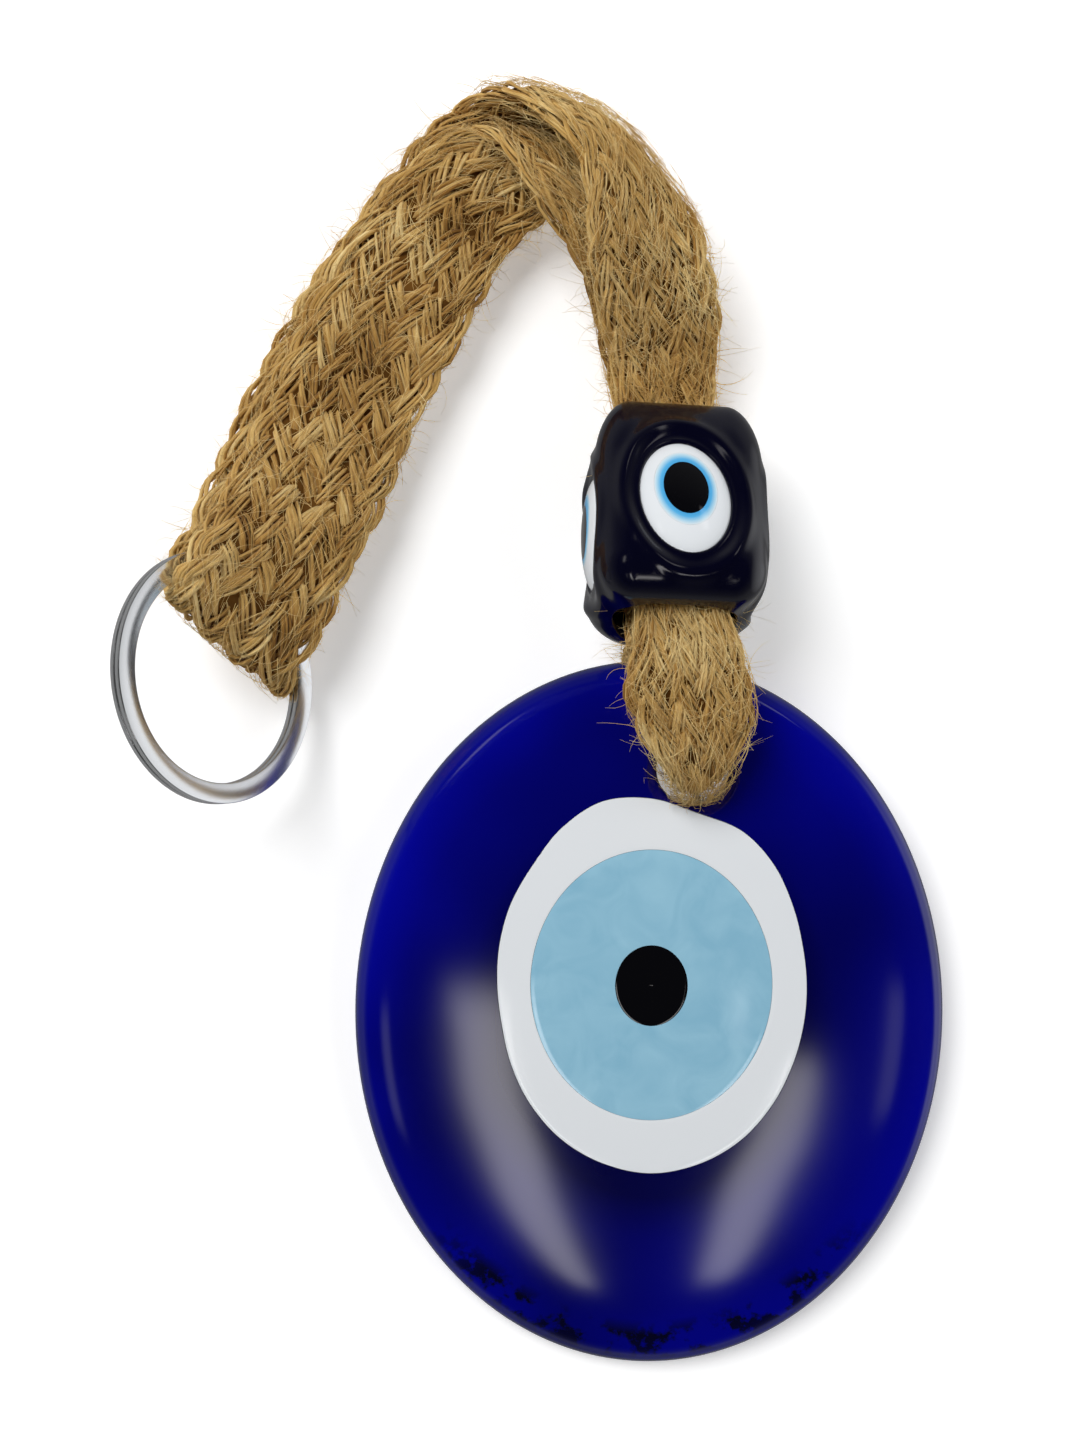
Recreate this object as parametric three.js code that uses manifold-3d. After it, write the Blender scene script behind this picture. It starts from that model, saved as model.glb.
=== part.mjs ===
// Evil eye hanging ornament: an oval glass eye disc on a doubled, braided jute strap, with a
// four-eyed glass bead threaded on the strap and a steel split ring held in its far fold.
// Millimetres, +Z up.  The ornament lies on its back on the plane z = 0.
import * as THREE from "three";
import { mergeVertices } from "three/addons/utils/BufferGeometryUtils.js";
import { RoundedBoxGeometry } from "three/addons/geometries/RoundedBoxGeometry.js";
import Module from "manifold-3d";

const wasm = await Module();
wasm.setup();

// ---- driving dimensions ---------------------------------------------------------------------
const GAP = 0.3; // clearance between neighbouring pieces

// glass disc
const DISC_WIDTH = 81;
const DISC_LENGTH = 97.6;
const DISC_THICKNESS = 8; // at the crown
const DISC_EDGE = 6.2; // where the crowned front meets the rounded edge
const DISC_TILT = 3.5; // degrees, the holed end is propped up by the strap's back loop
const LAND_LENGTH = 54; // flat land in the middle of the back
const LAND_RELIEF = 0.35; // how far the rest of the back stands off the land
const HOLE_RADIUS = 4.9;
const HOLE_LIP = 0.9; // how far the rounded lip widens the hole
const HOLE_X = 5.7;
const HOLE_TO_EDGE = 14.6; // hole centre to the end of the oval

// coloured glass pressed into the disc's front
const WHITE_DEPTH = 2.6;
const IRIS_WIDTH = 32.8;
const IRIS_LENGTH = 37;
const IRIS_CENTRE = [0.1, 4.9];
const IRIS_DEPTH = 1.7;
const PUPIL_WIDTH = 9.8;
const PUPIL_LENGTH = 11;
const PUPIL_DEPTH = 0.9;

// bead
const BEAD_WIDTH = 21.6;
const BEAD_LENGTH = 29.8;
const BEAD_ROUNDING = 6.8;
const BEAD_PITCH = 25; // degrees, the end next to the disc is raised
const BEAD_ROLL = 6; // degrees, about the bore
const BEAD_CENTRE = [2.6, 66.35, 14.2];
const BORE_WIDTH = 15.8;
const BORE_HEIGHT = 10.4;
const BORE_FLARE = 1.1; // how far the bore's two mouths open, above and below
const EYE_WIDTH = 12.2; // white dot of each bead eye
const EYE_LENGTH = 16.8;
const EYE_DEPTH = 4.2; // whole height of the flattened blob, mostly sunk in the bead
const EYE_STAND = 1.3; // how far the white dot stands proud of the bead
const EYE_SHIFT = -1.7; // along the bore, towards the disc
const EYE_RING_WIDTH = 7.6;
const EYE_RING_LENGTH = 10;
const EYE_RING_DEPTH = 2.4;
const EYE_PUPIL_WIDTH = 5.4;
const EYE_PUPIL_LENGTH = 7.2;
const EYE_PUPIL_DEPTH = 1.8;

// split ring: one flat wire wound nearly twice round
const RING_DIAMETER = 33.6;
const RING_WIRE_WIDTH = 2.7;
const RING_WIRE_HEIGHT = 0.8;
const RING_COIL_GAP = 0.15;
const RING_CENTRE = [-57.8, 46.3, 17.6];
const RING_TILT = 51; // degrees from lying flat
const RING_LEAN = 6; // degrees from +X, the side that the ring dips to
const RING_SPIN = 108; // degrees, where the coil's ends are

// strap
const STRAP_THICKNESS = 4.1; // one layer of braid
const STRAP_IN_BORE = 3.8; // one layer where the bead squeezes it
const STRAP_BORE_WIDTH = 13.6;
const STRAP_MOUTH_WIDTH = 12; // the outer layer, pinched where it enters the bead
const STRAP_BORE_X = 2.7;
const STRAP_BORE_DRIFT = 0.03; // sideways run of the strap along the bore
const GLUE_THICKNESS = 0.6;
const GLUE_WIDTH = 9;
const GLUE_LENGTH = 14;
const BEAD_TRAVEL = 4; // the strap stays straight for this far past the bead

// ---- colours --------------------------------------------------------------------------------
function finish(colour, roughness, metalness) {
  return new THREE.MeshStandardMaterial({ color: colour, roughness, metalness });
}
const COBALT = () => finish(0x0a1a86, 0.08, 0);
const OPAL = () => finish(0xe6ebee, 0.12, 0);
const PALE_BLUE = () => finish(0x8fc3da, 0.12, 0);
const SKY_BLUE = () => finish(0x4aa5dd, 0.12, 0);
const JET = () => finish(0x050508, 0.06, 0);
const NIGHT_BLUE = () => finish(0x05061c, 0.08, 0);
const JUTE = () => finish(0xb29164, 0.9, 0);
const STEEL = () => finish(0xc4c8ca, 0.22, 1);
const GLUE = () => finish(0xd9cf9f, 0.4, 0);

// ---- solids ---------------------------------------------------------------------------------
function solid(geometry) {
  const bare = geometry.clone();
  bare.deleteAttribute("normal");
  bare.deleteAttribute("uv");
  const merged = mergeVertices(bare, 1e-4);
  const mesh = new wasm.Mesh({
    numProp: 3,
    vertProperties: new Float32Array(merged.attributes.position.array),
    triVerts: new Uint32Array(merged.index.array),
  });
  return new wasm.Manifold(mesh);
}

function shell(body) {
  const mesh = body.getMesh();
  const geometry = new THREE.BufferGeometry();
  geometry.setAttribute("position", new THREE.BufferAttribute(mesh.vertProperties, 3));
  geometry.setIndex(new THREE.BufferAttribute(mesh.triVerts, 1));
  return geometry;
}

function piece(name, geometry, material) {
  const mesh = new THREE.Mesh(geometry, material);
  mesh.name = name;
  return mesh;
}

// A closed body through rings of points.  Each ring runs clockwise as seen along the loft.
function loft(rings) {
  const sides = rings[0].length;
  const points = rings.flat();
  const faces = [];
  const at = (ring, side) => ring * sides + (side % sides);
  for (let ring = 0; ring + 1 < rings.length; ring++) {
    for (let side = 0; side < sides; side++) {
      faces.push(at(ring, side), at(ring, side + 1), at(ring + 1, side + 1));
      faces.push(at(ring, side), at(ring + 1, side + 1), at(ring + 1, side));
    }
  }
  const last = rings.length - 1;
  for (let side = 1; side + 1 < sides; side++) {
    faces.push(at(0, 0), at(0, side + 1), at(0, side));
    faces.push(at(last, 0), at(last, side), at(last, side + 1));
  }
  const geometry = new THREE.BufferGeometry().setFromPoints(points);
  geometry.setIndex(faces);
  return geometry;
}

function ovalShape(width, length, centre = [0, 0]) {
  const shape = new THREE.Shape();
  shape.absellipse(centre[0], centre[1], width / 2, length / 2, 0, Math.PI * 2);
  return shape;
}

function prism(shape, low, high, segments) {
  const settings = { depth: high - low, bevelEnabled: false, curveSegments: segments };
  return new THREE.ExtrudeGeometry(shape, settings).translate(0, 0, low);
}

function ellipsoid(width, length, height) {
  const geometry = new THREE.SphereGeometry(0.5, 20, 10).rotateX(Math.PI / 2);
  return geometry.scale(width, length, height);
}

// ---- disc -----------------------------------------------------------------------------------
const HOLE_Y = DISC_LENGTH / 2 - HOLE_TO_EDGE;

function discBlank() {
  const r = DISC_LENGTH / 2;
  const profile = [
    [0, 0],
    [LAND_LENGTH / 2, 0],
    [r - 3, LAND_RELIEF],
    [r - 1.1, LAND_RELIEF + 0.7],
    [r - 0.2, LAND_RELIEF + 1.9],
    [r, 3.1],
    [r - 0.25, 4.2],
    [r - 1.2, DISC_EDGE - 0.9],
    [r - 3.2, DISC_EDGE],
    [r * 0.8, DISC_EDGE + (DISC_THICKNESS - DISC_EDGE) * 0.38],
    [r * 0.5, DISC_EDGE + (DISC_THICKNESS - DISC_EDGE) * 0.79],
    [0, DISC_THICKNESS],
  ].map(([x, y]) => new THREE.Vector2(x, y));
  const turned = new THREE.LatheGeometry(profile, 72).rotateX(Math.PI / 2);
  return solid(turned.scale(DISC_WIDTH / DISC_LENGTH, 1, 1));
}

function holeCutter() {
  const top = DISC_THICKNESS;
  const profile = [
    [0, -1],
    [HOLE_RADIUS + HOLE_LIP, -1],
    [HOLE_RADIUS + HOLE_LIP, 0.4],
    [HOLE_RADIUS + 0.25, 1.2],
    [HOLE_RADIUS, 2.2],
    [HOLE_RADIUS, top - 2.8],
    [HOLE_RADIUS + 0.25, top - 1.8],
    [HOLE_RADIUS + HOLE_LIP, top - 1],
    [HOLE_RADIUS + HOLE_LIP, top + 1],
    [0, top + 1],
  ].map(([x, y]) => new THREE.Vector2(x, y));
  const turned = new THREE.LatheGeometry(profile, 32).rotateX(Math.PI / 2);
  return solid(turned.translate(HOLE_X, HOLE_Y, 0));
}

// The white patch was poured freehand, so its outline is a loose closed curve.
const WHITE_OUTLINE = [
  [-6.6, 29.9], [0.1, 30.3], [6.4, 28.3], [12.3, 25.9], [16.6, 21.4], [19.2, 15.9], [20.6, 10.4],
  [21.2, 4.9], [20.8, -0.6], [19.3, -6.2], [16.6, -11.6], [12.4, -16.4], [6.7, -19.7],
  [0.1, -21.0], [-6.5, -19.6], [-12.1, -16.3], [-16.3, -11.5], [-18.9, -6.1], [-20.2, -0.5],
  [-20.8, 4.9], [-20.5, 10.4], [-19.0, 15.9], [-16.1, 21.1], [-12.2, 26.2],
];

function whiteShape(margin) {
  const centre = new THREE.Vector2(...IRIS_CENTRE);
  const points = WHITE_OUTLINE.map(([x, y]) => {
    const arm = new THREE.Vector2(x, y).sub(centre);
    return arm.setLength(arm.length() + margin).add(centre);
  });
  const closed = new THREE.CatmullRomCurve3(
    points.map((p) => new THREE.Vector3(p.x, p.y, 0)), true);
  const outline = closed.getPoints(64).slice(0, -1);
  return new THREE.Shape(outline.map((p) => new THREE.Vector2(p.x, p.y)));
}

function buildDisc() {
  const over = DISC_THICKNESS + 1;
  const blank = discBlank();
  const hole = holeCutter();
  const floors = {
    white: DISC_THICKNESS - WHITE_DEPTH,
    iris: DISC_THICKNESS - IRIS_DEPTH,
    pupil: DISC_THICKNESS - PUPIL_DEPTH,
  };
  const oval = (width, length, margin) =>
    ovalShape(width + 2 * margin, length + 2 * margin, IRIS_CENTRE);
  const cutter = (shape, low, segments = 24) => solid(prism(shape, low, over, segments));

  const glass = blank
    .subtract(hole)
    .subtract(cutter(whiteShape(GAP / 2), floors.white - GAP / 2));
  const white = blank
    .subtract(hole)
    .intersect(cutter(whiteShape(-GAP / 2), floors.white + GAP / 2))
    .subtract(cutter(oval(IRIS_WIDTH, IRIS_LENGTH, GAP / 2), floors.iris - GAP / 2));
  const iris = blank
    .intersect(cutter(oval(IRIS_WIDTH, IRIS_LENGTH, -GAP / 2), floors.iris + GAP / 2))
    .subtract(cutter(oval(PUPIL_WIDTH, PUPIL_LENGTH, GAP / 2), floors.pupil - GAP / 2, 12));
  const pupil = blank
    .intersect(cutter(oval(PUPIL_WIDTH, PUPIL_LENGTH, -GAP / 2), floors.pupil + GAP / 2, 12));

  const disc = new THREE.Group();
  disc.add(piece("disc_glass", shell(glass), COBALT()));
  disc.add(piece("disc_eye_white", shell(white), OPAL()));
  disc.add(piece("disc_eye_iris", shell(iris), PALE_BLUE()));
  disc.add(piece("disc_eye_pupil", shell(pupil), JET()));
  disc.rotation.x = THREE.MathUtils.degToRad(DISC_TILT);
  const box = new THREE.Box3().setFromObject(disc, true);
  disc.position.set(0, -(box.min.y + box.max.y) / 2, -box.min.z);
  return disc;
}

// ---- bead -----------------------------------------------------------------------------------
function slotRing(width, height, y) {
  const radius = height * 0.42;
  const corners = [[-1, 1], [1, 1], [1, -1], [-1, -1]];
  const ring = [];
  corners.forEach(([sx, sz], corner) => {
    for (let step = 0; step <= 3; step++) {
      const angle = Math.PI - corner * Math.PI / 2 - (step * Math.PI) / 6;
      const x = sx * (width / 2 - radius) + radius * Math.cos(angle);
      const z = sz * (height / 2 - radius) + radius * Math.sin(angle);
      ring.push(new THREE.Vector3(x, y, z));
    }
  });
  return ring;
}

function boreCutter() {
  const half = BEAD_LENGTH / 2;
  const stages = [
    [half + 1, 1.2], [half - 0.2, 0.9], [half - 1.4, 0.45], [half - 2.8, 0.12], [half - 4.2, 0],
  ];
  const slots = (side) => stages.map(([y, share]) => slotRing(
    BORE_WIDTH + share * BORE_FLARE, BORE_HEIGHT + 2 * share * BORE_FLARE, side * y));
  return solid(loft([...slots(-1), ...slots(1).reverse()]));
}

function beadEye(direction) {
  const face = BEAD_WIDTH / 2;
  const dots = [
    { size: [EYE_WIDTH, EYE_LENGTH, EYE_DEPTH], top: EYE_STAND },
    { size: [EYE_RING_WIDTH, EYE_RING_LENGTH, EYE_RING_DEPTH], top: EYE_STAND + 0.1 },
    { size: [EYE_PUPIL_WIDTH, EYE_PUPIL_LENGTH, EYE_PUPIL_DEPTH], top: EYE_STAND + 0.3 },
  ];
  return dots.map(({ size, top }) => {
    const place = (margin) => ellipsoid(...size.map((side) => side + 2 * margin))
      .translate(0, EYE_SHIFT, face + top - size[2] / 2)
      .rotateY(direction);
    return { body: solid(place(0)), pocket: solid(place(GAP / 2)) };
  });
}

function buildBead() {
  const bead = new THREE.Group();
  const block = new RoundedBoxGeometry(BEAD_WIDTH, BEAD_LENGTH, BEAD_WIDTH, 4, BEAD_ROUNDING);
  let glass = solid(block).subtract(boreCutter());
  const sides = { front: 0, right: Math.PI / 2, back: Math.PI, left: -Math.PI / 2 };
  for (const [side, direction] of Object.entries(sides)) {
    const [white, blue, pupil] = beadEye(direction);
    glass = glass.subtract(white.pocket);
    const name = `bead_eye_${side}`;
    bead.add(piece(`${name}_white`, shell(white.body.subtract(blue.pocket)), OPAL()));
    bead.add(piece(`${name}_blue`, shell(blue.body.subtract(pupil.pocket)), SKY_BLUE()));
    bead.add(piece(`${name}_pupil`, shell(pupil.body), JET()));
  }
  bead.add(piece("bead_body", shell(glass), NIGHT_BLUE()));
  bead.position.set(...BEAD_CENTRE);
  bead.rotation.set(
    THREE.MathUtils.degToRad(-BEAD_PITCH), THREE.MathUtils.degToRad(BEAD_ROLL), 0, "XYZ");
  return bead;
}

// ---- split ring -----------------------------------------------------------------------------
// The wire runs once round on the upper level, steps down just before it meets its own start,
// and runs round again below, ending where the step begins.
function buildRing() {
  const stepFrom = 333;
  const stepTo = 357;
  const end = 360 + stepFrom - 3;
  const level = (RING_WIRE_HEIGHT + RING_COIL_GAP) / 2;
  const middle = (RING_DIAMETER - RING_WIRE_WIDTH) / 2;
  const w = RING_WIRE_WIDTH / 2;
  const h = RING_WIRE_HEIGHT / 2;
  const c = 0.22; // softened corners of the wire
  const section = [[-w, -h + c], [-w, h - c], [-w + c, h], [w - c, h], [w, h - c], [w, -h + c],
    [w - c, -h], [-w + c, -h]];
  const rings = [];
  for (let turn = 0; turn <= end; turn += 6) {
    const angle = THREE.MathUtils.degToRad(turn);
    const drop = THREE.MathUtils.smoothstep(turn, stepFrom, stepTo);
    const height = level - 2 * level * drop;
    rings.push(section.map(([across, up]) => new THREE.Vector3(
      (middle + across) * Math.cos(angle), (middle + across) * Math.sin(angle), height + up)));
  }
  const ring = piece("split_ring", loft(rings), STEEL());
  ring.geometry.rotateZ(THREE.MathUtils.degToRad(RING_SPIN));
  ring.position.set(...RING_CENTRE);
  ring.rotation.set(
    0, THREE.MathUtils.degToRad(RING_TILT), THREE.MathUtils.degToRad(RING_LEAN), "ZYX");
  return ring;
}

// ---- strap ----------------------------------------------------------------------------------
// Each run is a list of stations: left edge, right edge, thickness, and how far the middle of
// the braid bulges beyond the line between its edges.
const T = STRAP_THICKNESS;

// Outer layer: hole, over the disc's edge, through the bead, round the bend, down to the ring.
const FRONT_TONGUE = [
  [[2.5, 33.7, 12.4], [8.9, 33.7, 12.4], 7.0, 0.7],
  [[1.3, 34.5, 15.4], [10.1, 34.5, 15.4], 6.2, 0.9],
  [[-1.1, 37.3, 17.8], [12.1, 37.3, 17.8], 5.2, 1.1],
  [[-3.5, 41.6, 19.4], [13.3, 41.6, 19.4], 4.6, 1.2],
  [[-3.9, 45.8, 20.7], [12.7, 45.8, 20.7], 4.4, 1.1],
  [[-3.0, 50.4, 21.7], [11.3, 50.4, 21.7], 4.1, 0.6],
];
const BACK_LOOP = [
  [[3.0, 33.9, 4.4], [8.4, 33.9, 4.4], 4.6, 0.2],
  [[1.2, 35.6, 2.6], [9.6, 35.6, 2.6], 3.6, 0],
  [[-1.6, 39.0, 2.2], [10.2, 39.0, 2.2], 3.4, 0],
  [[-3.2, 44.0, 2.2], [9.8, 44.0, 2.2], 3.2, 0],
  [[-3.7, 48.2, 3.2], [9.2, 48.2, 3.2], 2.2, 0],
  [[-3.7, 50.3, 6.8], [9.3, 50.3, 6.8], 1.8, 0],
  [[-3.5, 50.1, 10.2], [9.5, 50.1, 10.2], 1.5, 0],
  [[-3.4, 49.0, 13.2], [9.8, 49.0, 13.2], 1.6, 0],
  [[-3.3, 50.4, 16.4], [10.1, 50.4, 16.4], 2.6, 0],
];

// A straight stretch along the bead's bore, at a height above the bore's axis.
function boreStation(along, above, width, thickness) {
  const pitch = THREE.MathUtils.degToRad(BEAD_PITCH);
  const y = BEAD_CENTRE[1] + along * Math.cos(pitch) + above * Math.sin(pitch);
  const z = BEAD_CENTRE[2] - along * Math.sin(pitch) + above * Math.cos(pitch);
  const x = STRAP_BORE_X - along * STRAP_BORE_DRIFT;
  return [[x - width / 2, y, z], [x + width / 2, y, z], thickness, 0];
}
const LAYER_OFFSET = (STRAP_IN_BORE + GLUE_THICKNESS) / 2 + GAP;
const LIMB_SPLIT = 6; // the station where the limb's soft end starts
const CORE_INSET = 1.6; // from the gathered core's ends to the runs above and below it
const BORE_STOPS = [-10, -5, 0, 5, 10, 14, BEAD_LENGTH / 2 + BEAD_TRAVEL];
const boreRun = (above) => BORE_STOPS.map(
  (along) => boreStation(along, above, STRAP_BORE_WIDTH, STRAP_IN_BORE));

const OUTER_BEND = [
  [[-5.8, 90.5, 8.6], [9.3, 90.5, 8.4], T, 0],
  [[-7, 95, 11.2], [9.3, 95, 10.9], T, 0],
  [[-8, 99.5, 14.0], [8.8, 99, 13.4], T, 0],
  [[-9, 104, 16.8], [7.2, 104.5, 14.6], T, 0.3],
  [[-9, 109, 19], [4.8, 109, 14.2], T, 0.8],
  [[-10, 114, 20.2], [1.6, 112.5, 13.2], T, 1.2],
  [[-12.5, 118, 20], [-1.2, 115.5, 11.6], T, 1.8],
  [[-16, 121.5, 18], [-3.6, 117.5, 9.4], T, 2],
  [[-19.5, 124.5, 14.6], [-6, 118.4, 7], T, 1.8],
  [[-22.5, 126.2, 10.2], [-8.2, 118, 4.8], T, 1.4],
  [[-25, 126.2, 6], [-10, 116.8, 3.2], T, 0.6],
  [[-27.6, 125.2, 3.4], [-12, 114.8, 2.5], T, 0.1],
];
const OUTER_LIMB = [
  [[-31, 123, 2.4], [-14.5, 111.5, 2.4], T, 0],
  [[-36.6, 116, 2.4], [-20.5, 106, 2.4], T, 0],
  [[-43.4, 107, 2.4], [-26, 98.5, 2.4], T, 0],
  [[-49, 98.6, 2.4], [-30.5, 90.5, 2.4], T, 0],
  [[-54, 89.6, 2.4], [-35, 82, 2.4], T, 0],
  [[-58.2, 80.8, 2.4], [-38.5, 72.5, 2.4], T, 0],
  [[-61.2, 73.5, 4.0], [-42, 65, 2.4], T, 0],
  [[-63.0, 67.5, 8.4], [-45.4, 57.6, 2.1], 3.4, 0],
  [[-64.6, 62.2, 14.6], [-49.2, 48.4, 1.9], 2.8, 0],
];

const INNER_BEND = [
  [[-6, 89, 3.3], [9.2, 89, 3.2], T, 0],
  [[-7.2, 94.6, 4.9], [8.8, 94.6, 4.7], T, 0],
  [[-8.5, 99.5, 9.2], [8, 99.5, 8.8], T, 0],
  [[-10.5, 103.5, 11.8], [6.5, 105, 9.4], T, 0.2],
  [[-13.5, 107.5, 13.6], [4, 108.5, 9.2], T, 0.4],
  [[-16, 111, 14.4], [1, 111.5, 8.8], T, 0.6],
  [[-18.5, 115, 14.2], [-2, 113.5, 8.3], T, 0.8],
  [[-20.5, 118.5, 12.6], [-5, 114, 7.8], T, 0.8],
  [[-22.2, 120.8, 10.2], [-8, 113.5, 7.3], T, 0.6],
  [[-24.5, 121.8, 8.2], [-10.5, 112.3, 7], T, 0.3],
  [[-27, 121, 7.2], [-13, 110.5, 6.9], T, 0],
];
const INNER_LIMB = [
  [[-30, 119.5, 6.9], [-15.5, 108, 6.9], T, 0],
  [[-35.5, 114.5, 6.9], [-19.5, 104.5, 6.9], T, 0],
  [[-42, 106, 6.9], [-24, 96.5, 6.9], T, 0],
  [[-47, 97.5, 6.9], [-28, 89, 6.9], T, 0],
  [[-51, 89, 7.1], [-32, 81, 6.9], T, 0],
  [[-54.5, 80.5, 8.8], [-35.5, 72, 7.1], T, 0],
  [[-56.8, 73, 13.6], [-39, 64.5, 8.2], T, 0],
  [[-58.8, 66.6, 19.6], [-42.8, 56.5, 9.4], 3.8, 0],
];

// The fold at the far end, wrapped round the ring's wire from the inner layer to the outer.
const RING_FOLD = [
  [[-60.6, 62.2, 23.8], [-45.8, 51.0, 9.8], 3.2, 0],
  [[-62.0, 59.7, 24.4], [-47.8, 47.6, 9.2], 2.6, 0],
  [[-63.5, 57.5, 21.3], [-49.8, 44.4, 6.8], 2.3, 0],
  [[-64.6, 58.6, 17.6], [-50.6, 44.6, 3.6], 2.3, 0],
];

const ACROSS = [-1, -0.82, -0.42, 0.42, 0.82, 1];

// The band's rounded-flat section at one point of its run.
function bandSection(left, right, ahead, thickness, bulge) {
  const width = right.clone().sub(left);
  const out = width.clone().cross(ahead).normalize();
  const lift = (u, side) => {
    const half = (thickness / 2) * Math.sqrt(1 - u ** 4);
    const point = left.clone().addScaledVector(width, (u + 1) / 2);
    return point.addScaledVector(out, bulge * (1 - u * u) + side * half);
  };
  const top = ACROSS.map((u) => lift(u, 1));
  const bottom = ACROSS.slice(1, -1).reverse().map((u) => lift(u, -1));
  return [...top, ...bottom];
}

// A run of the strap through its stations; section(3.5) is half-way from station 3 to station 4.
function strapRun(stations) {
  const last = stations.length - 1;
  const curveOf = (pick) => new THREE.CatmullRomCurve3(stations.map(pick));
  const leftEdge = curveOf((s) => new THREE.Vector3(...s[0]));
  const rightEdge = curveOf((s) => new THREE.Vector3(...s[1]));
  const gauge = curveOf((s, i) => new THREE.Vector3(s[2], s[3], i));
  const middle = (index) => {
    const t = index / last;
    return leftEdge.getPoint(t).lerp(rightEdge.getPoint(t), 0.5);
  };
  const section = (index) => {
    const t = index / last;
    const ahead = leftEdge.getTangent(t).add(rightEdge.getTangent(t));
    const { x: thickness, y: bulge } = gauge.getPoint(t);
    return bandSection(leftEdge.getPoint(t), rightEdge.getPoint(t), ahead, thickness, bulge);
  };
  return { section, middle };
}

// One node of a run, from one station to another, drawn back at both ends by half the gap.
function strapNode(name, run, from, to) {
  const trim = (index, step) => GAP / 2 / run.middle(index).distanceTo(run.middle(index + step));
  const rings = [run.section(from + trim(from, 1))];
  for (let index = from + 0.5; index < to - 0.25; index += 0.5) {
    rings.push(run.section(index));
  }
  rings.push(run.section(to - trim(to, -1)));
  return piece(name, loft(rings), JUTE());
}

function buildStrap() {
  const strap = new THREE.Group();
  const addRun = (parts) => {
    const run = strapRun(parts.flatMap(([, stations]) => stations));
    let from = 0;
    for (const [name, stations] of parts) {
      const isLast = name === parts.at(-1)[0];
      const to = from + stations.length - (isLast ? 1 : 0);
      strap.add(strapNode(name, run, from, to));
      from = to;
    }
  };
  const mouthAt = 1.5 - BEAD_LENGTH / 2;
  const mouth = (above, width) => boreStation(mouthAt, above, width, STRAP_IN_BORE);
  addRun([
    ["strap_front_tongue", [...FRONT_TONGUE, mouth(LAYER_OFFSET, STRAP_MOUTH_WIDTH)]],
    ["strap_outer_rise", boreRun(LAYER_OFFSET)],
    ["strap_outer_bend", OUTER_BEND],
    ["strap_outer_limb", OUTER_LIMB.slice(0, LIMB_SPLIT)],
    ["strap_outer_end", OUTER_LIMB.slice(LIMB_SPLIT)],
  ]);
  addRun([
    ["strap_back_loop", [...BACK_LOOP, mouth(-LAYER_OFFSET, STRAP_BORE_WIDTH)]],
    ["strap_inner_rise", boreRun(-LAYER_OFFSET)],
    ["strap_inner_bend", INNER_BEND],
    ["strap_inner_limb", INNER_LIMB.slice(0, LIMB_SPLIT)],
    ["strap_inner_end", INNER_LIMB.slice(LIMB_SPLIT)],
    ["strap_ring_fold", [...RING_FOLD, OUTER_LIMB.at(-1)]],
  ]);
  strap.add(holeCore());
  strap.add(glueSeam());
  return strap;
}

// The single layer gathered through the disc's hole, between the tongue and the back loop.
function holeCore() {
  const centre = (s) => new THREE.Vector3(...s[0]).lerp(new THREE.Vector3(...s[1]), 0.5);
  const top = centre(FRONT_TONGUE[0]);
  const bottom = centre(BACK_LOOP[0]);
  const radius = HOLE_RADIUS - GAP - 0.5;
  const length = top.z - bottom.z - 2 * CORE_INSET;
  const core = new THREE.CylinderGeometry(radius, radius, length, 16).rotateX(Math.PI / 2);
  core.translate(top.x, (top.y + bottom.y) / 2, (top.z + bottom.z) / 2);
  return piece("strap_hole_core", core, JUTE());
}

// Glue that closes the strap's loop, hidden between the two layers inside the bead.
function glueSeam() {
  const half = GLUE_LENGTH / 2;
  const run = strapRun([-half, 0, half].map(
    (along) => boreStation(along, 0, GLUE_WIDTH, GLUE_THICKNESS)));
  return piece("strap_glue_seam", loft([0, 1, 2].map(run.section)), GLUE());
}

// ---- assembly -------------------------------------------------------------------------------
const ornament = new THREE.Group();
ornament.add(buildDisc(), buildBead(), buildRing(), buildStrap());

export default ornament;
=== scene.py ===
"""Looks for the evil eye hanging ornament: glass, braided jute and steel, in metres."""

import math

import bmesh
import bpy
import numpy as np
from mathutils import Matrix, Vector


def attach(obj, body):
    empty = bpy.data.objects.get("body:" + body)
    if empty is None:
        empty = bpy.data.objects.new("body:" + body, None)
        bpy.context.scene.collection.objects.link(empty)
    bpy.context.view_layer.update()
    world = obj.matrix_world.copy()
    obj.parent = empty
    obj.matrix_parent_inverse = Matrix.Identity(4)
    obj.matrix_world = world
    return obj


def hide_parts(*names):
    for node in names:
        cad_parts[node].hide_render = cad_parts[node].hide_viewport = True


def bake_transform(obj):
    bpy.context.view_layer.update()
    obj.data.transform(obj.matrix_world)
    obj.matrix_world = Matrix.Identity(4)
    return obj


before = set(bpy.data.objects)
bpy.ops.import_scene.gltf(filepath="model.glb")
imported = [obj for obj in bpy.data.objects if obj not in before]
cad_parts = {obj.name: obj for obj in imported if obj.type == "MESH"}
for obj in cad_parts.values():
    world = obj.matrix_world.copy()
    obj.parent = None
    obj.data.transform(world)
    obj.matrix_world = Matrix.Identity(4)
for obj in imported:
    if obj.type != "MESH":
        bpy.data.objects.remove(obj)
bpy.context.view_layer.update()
rng = np.random.RandomState(7)

# ---- camera: straight down, as over a table ----
CAMERA_PLACE = (-0.015, 0.0406, 0.280)
CAMERA_LENS = 33.13
CAMERA_SENSOR = 24.0
CAMERA_CLIP = 0.01

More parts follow.
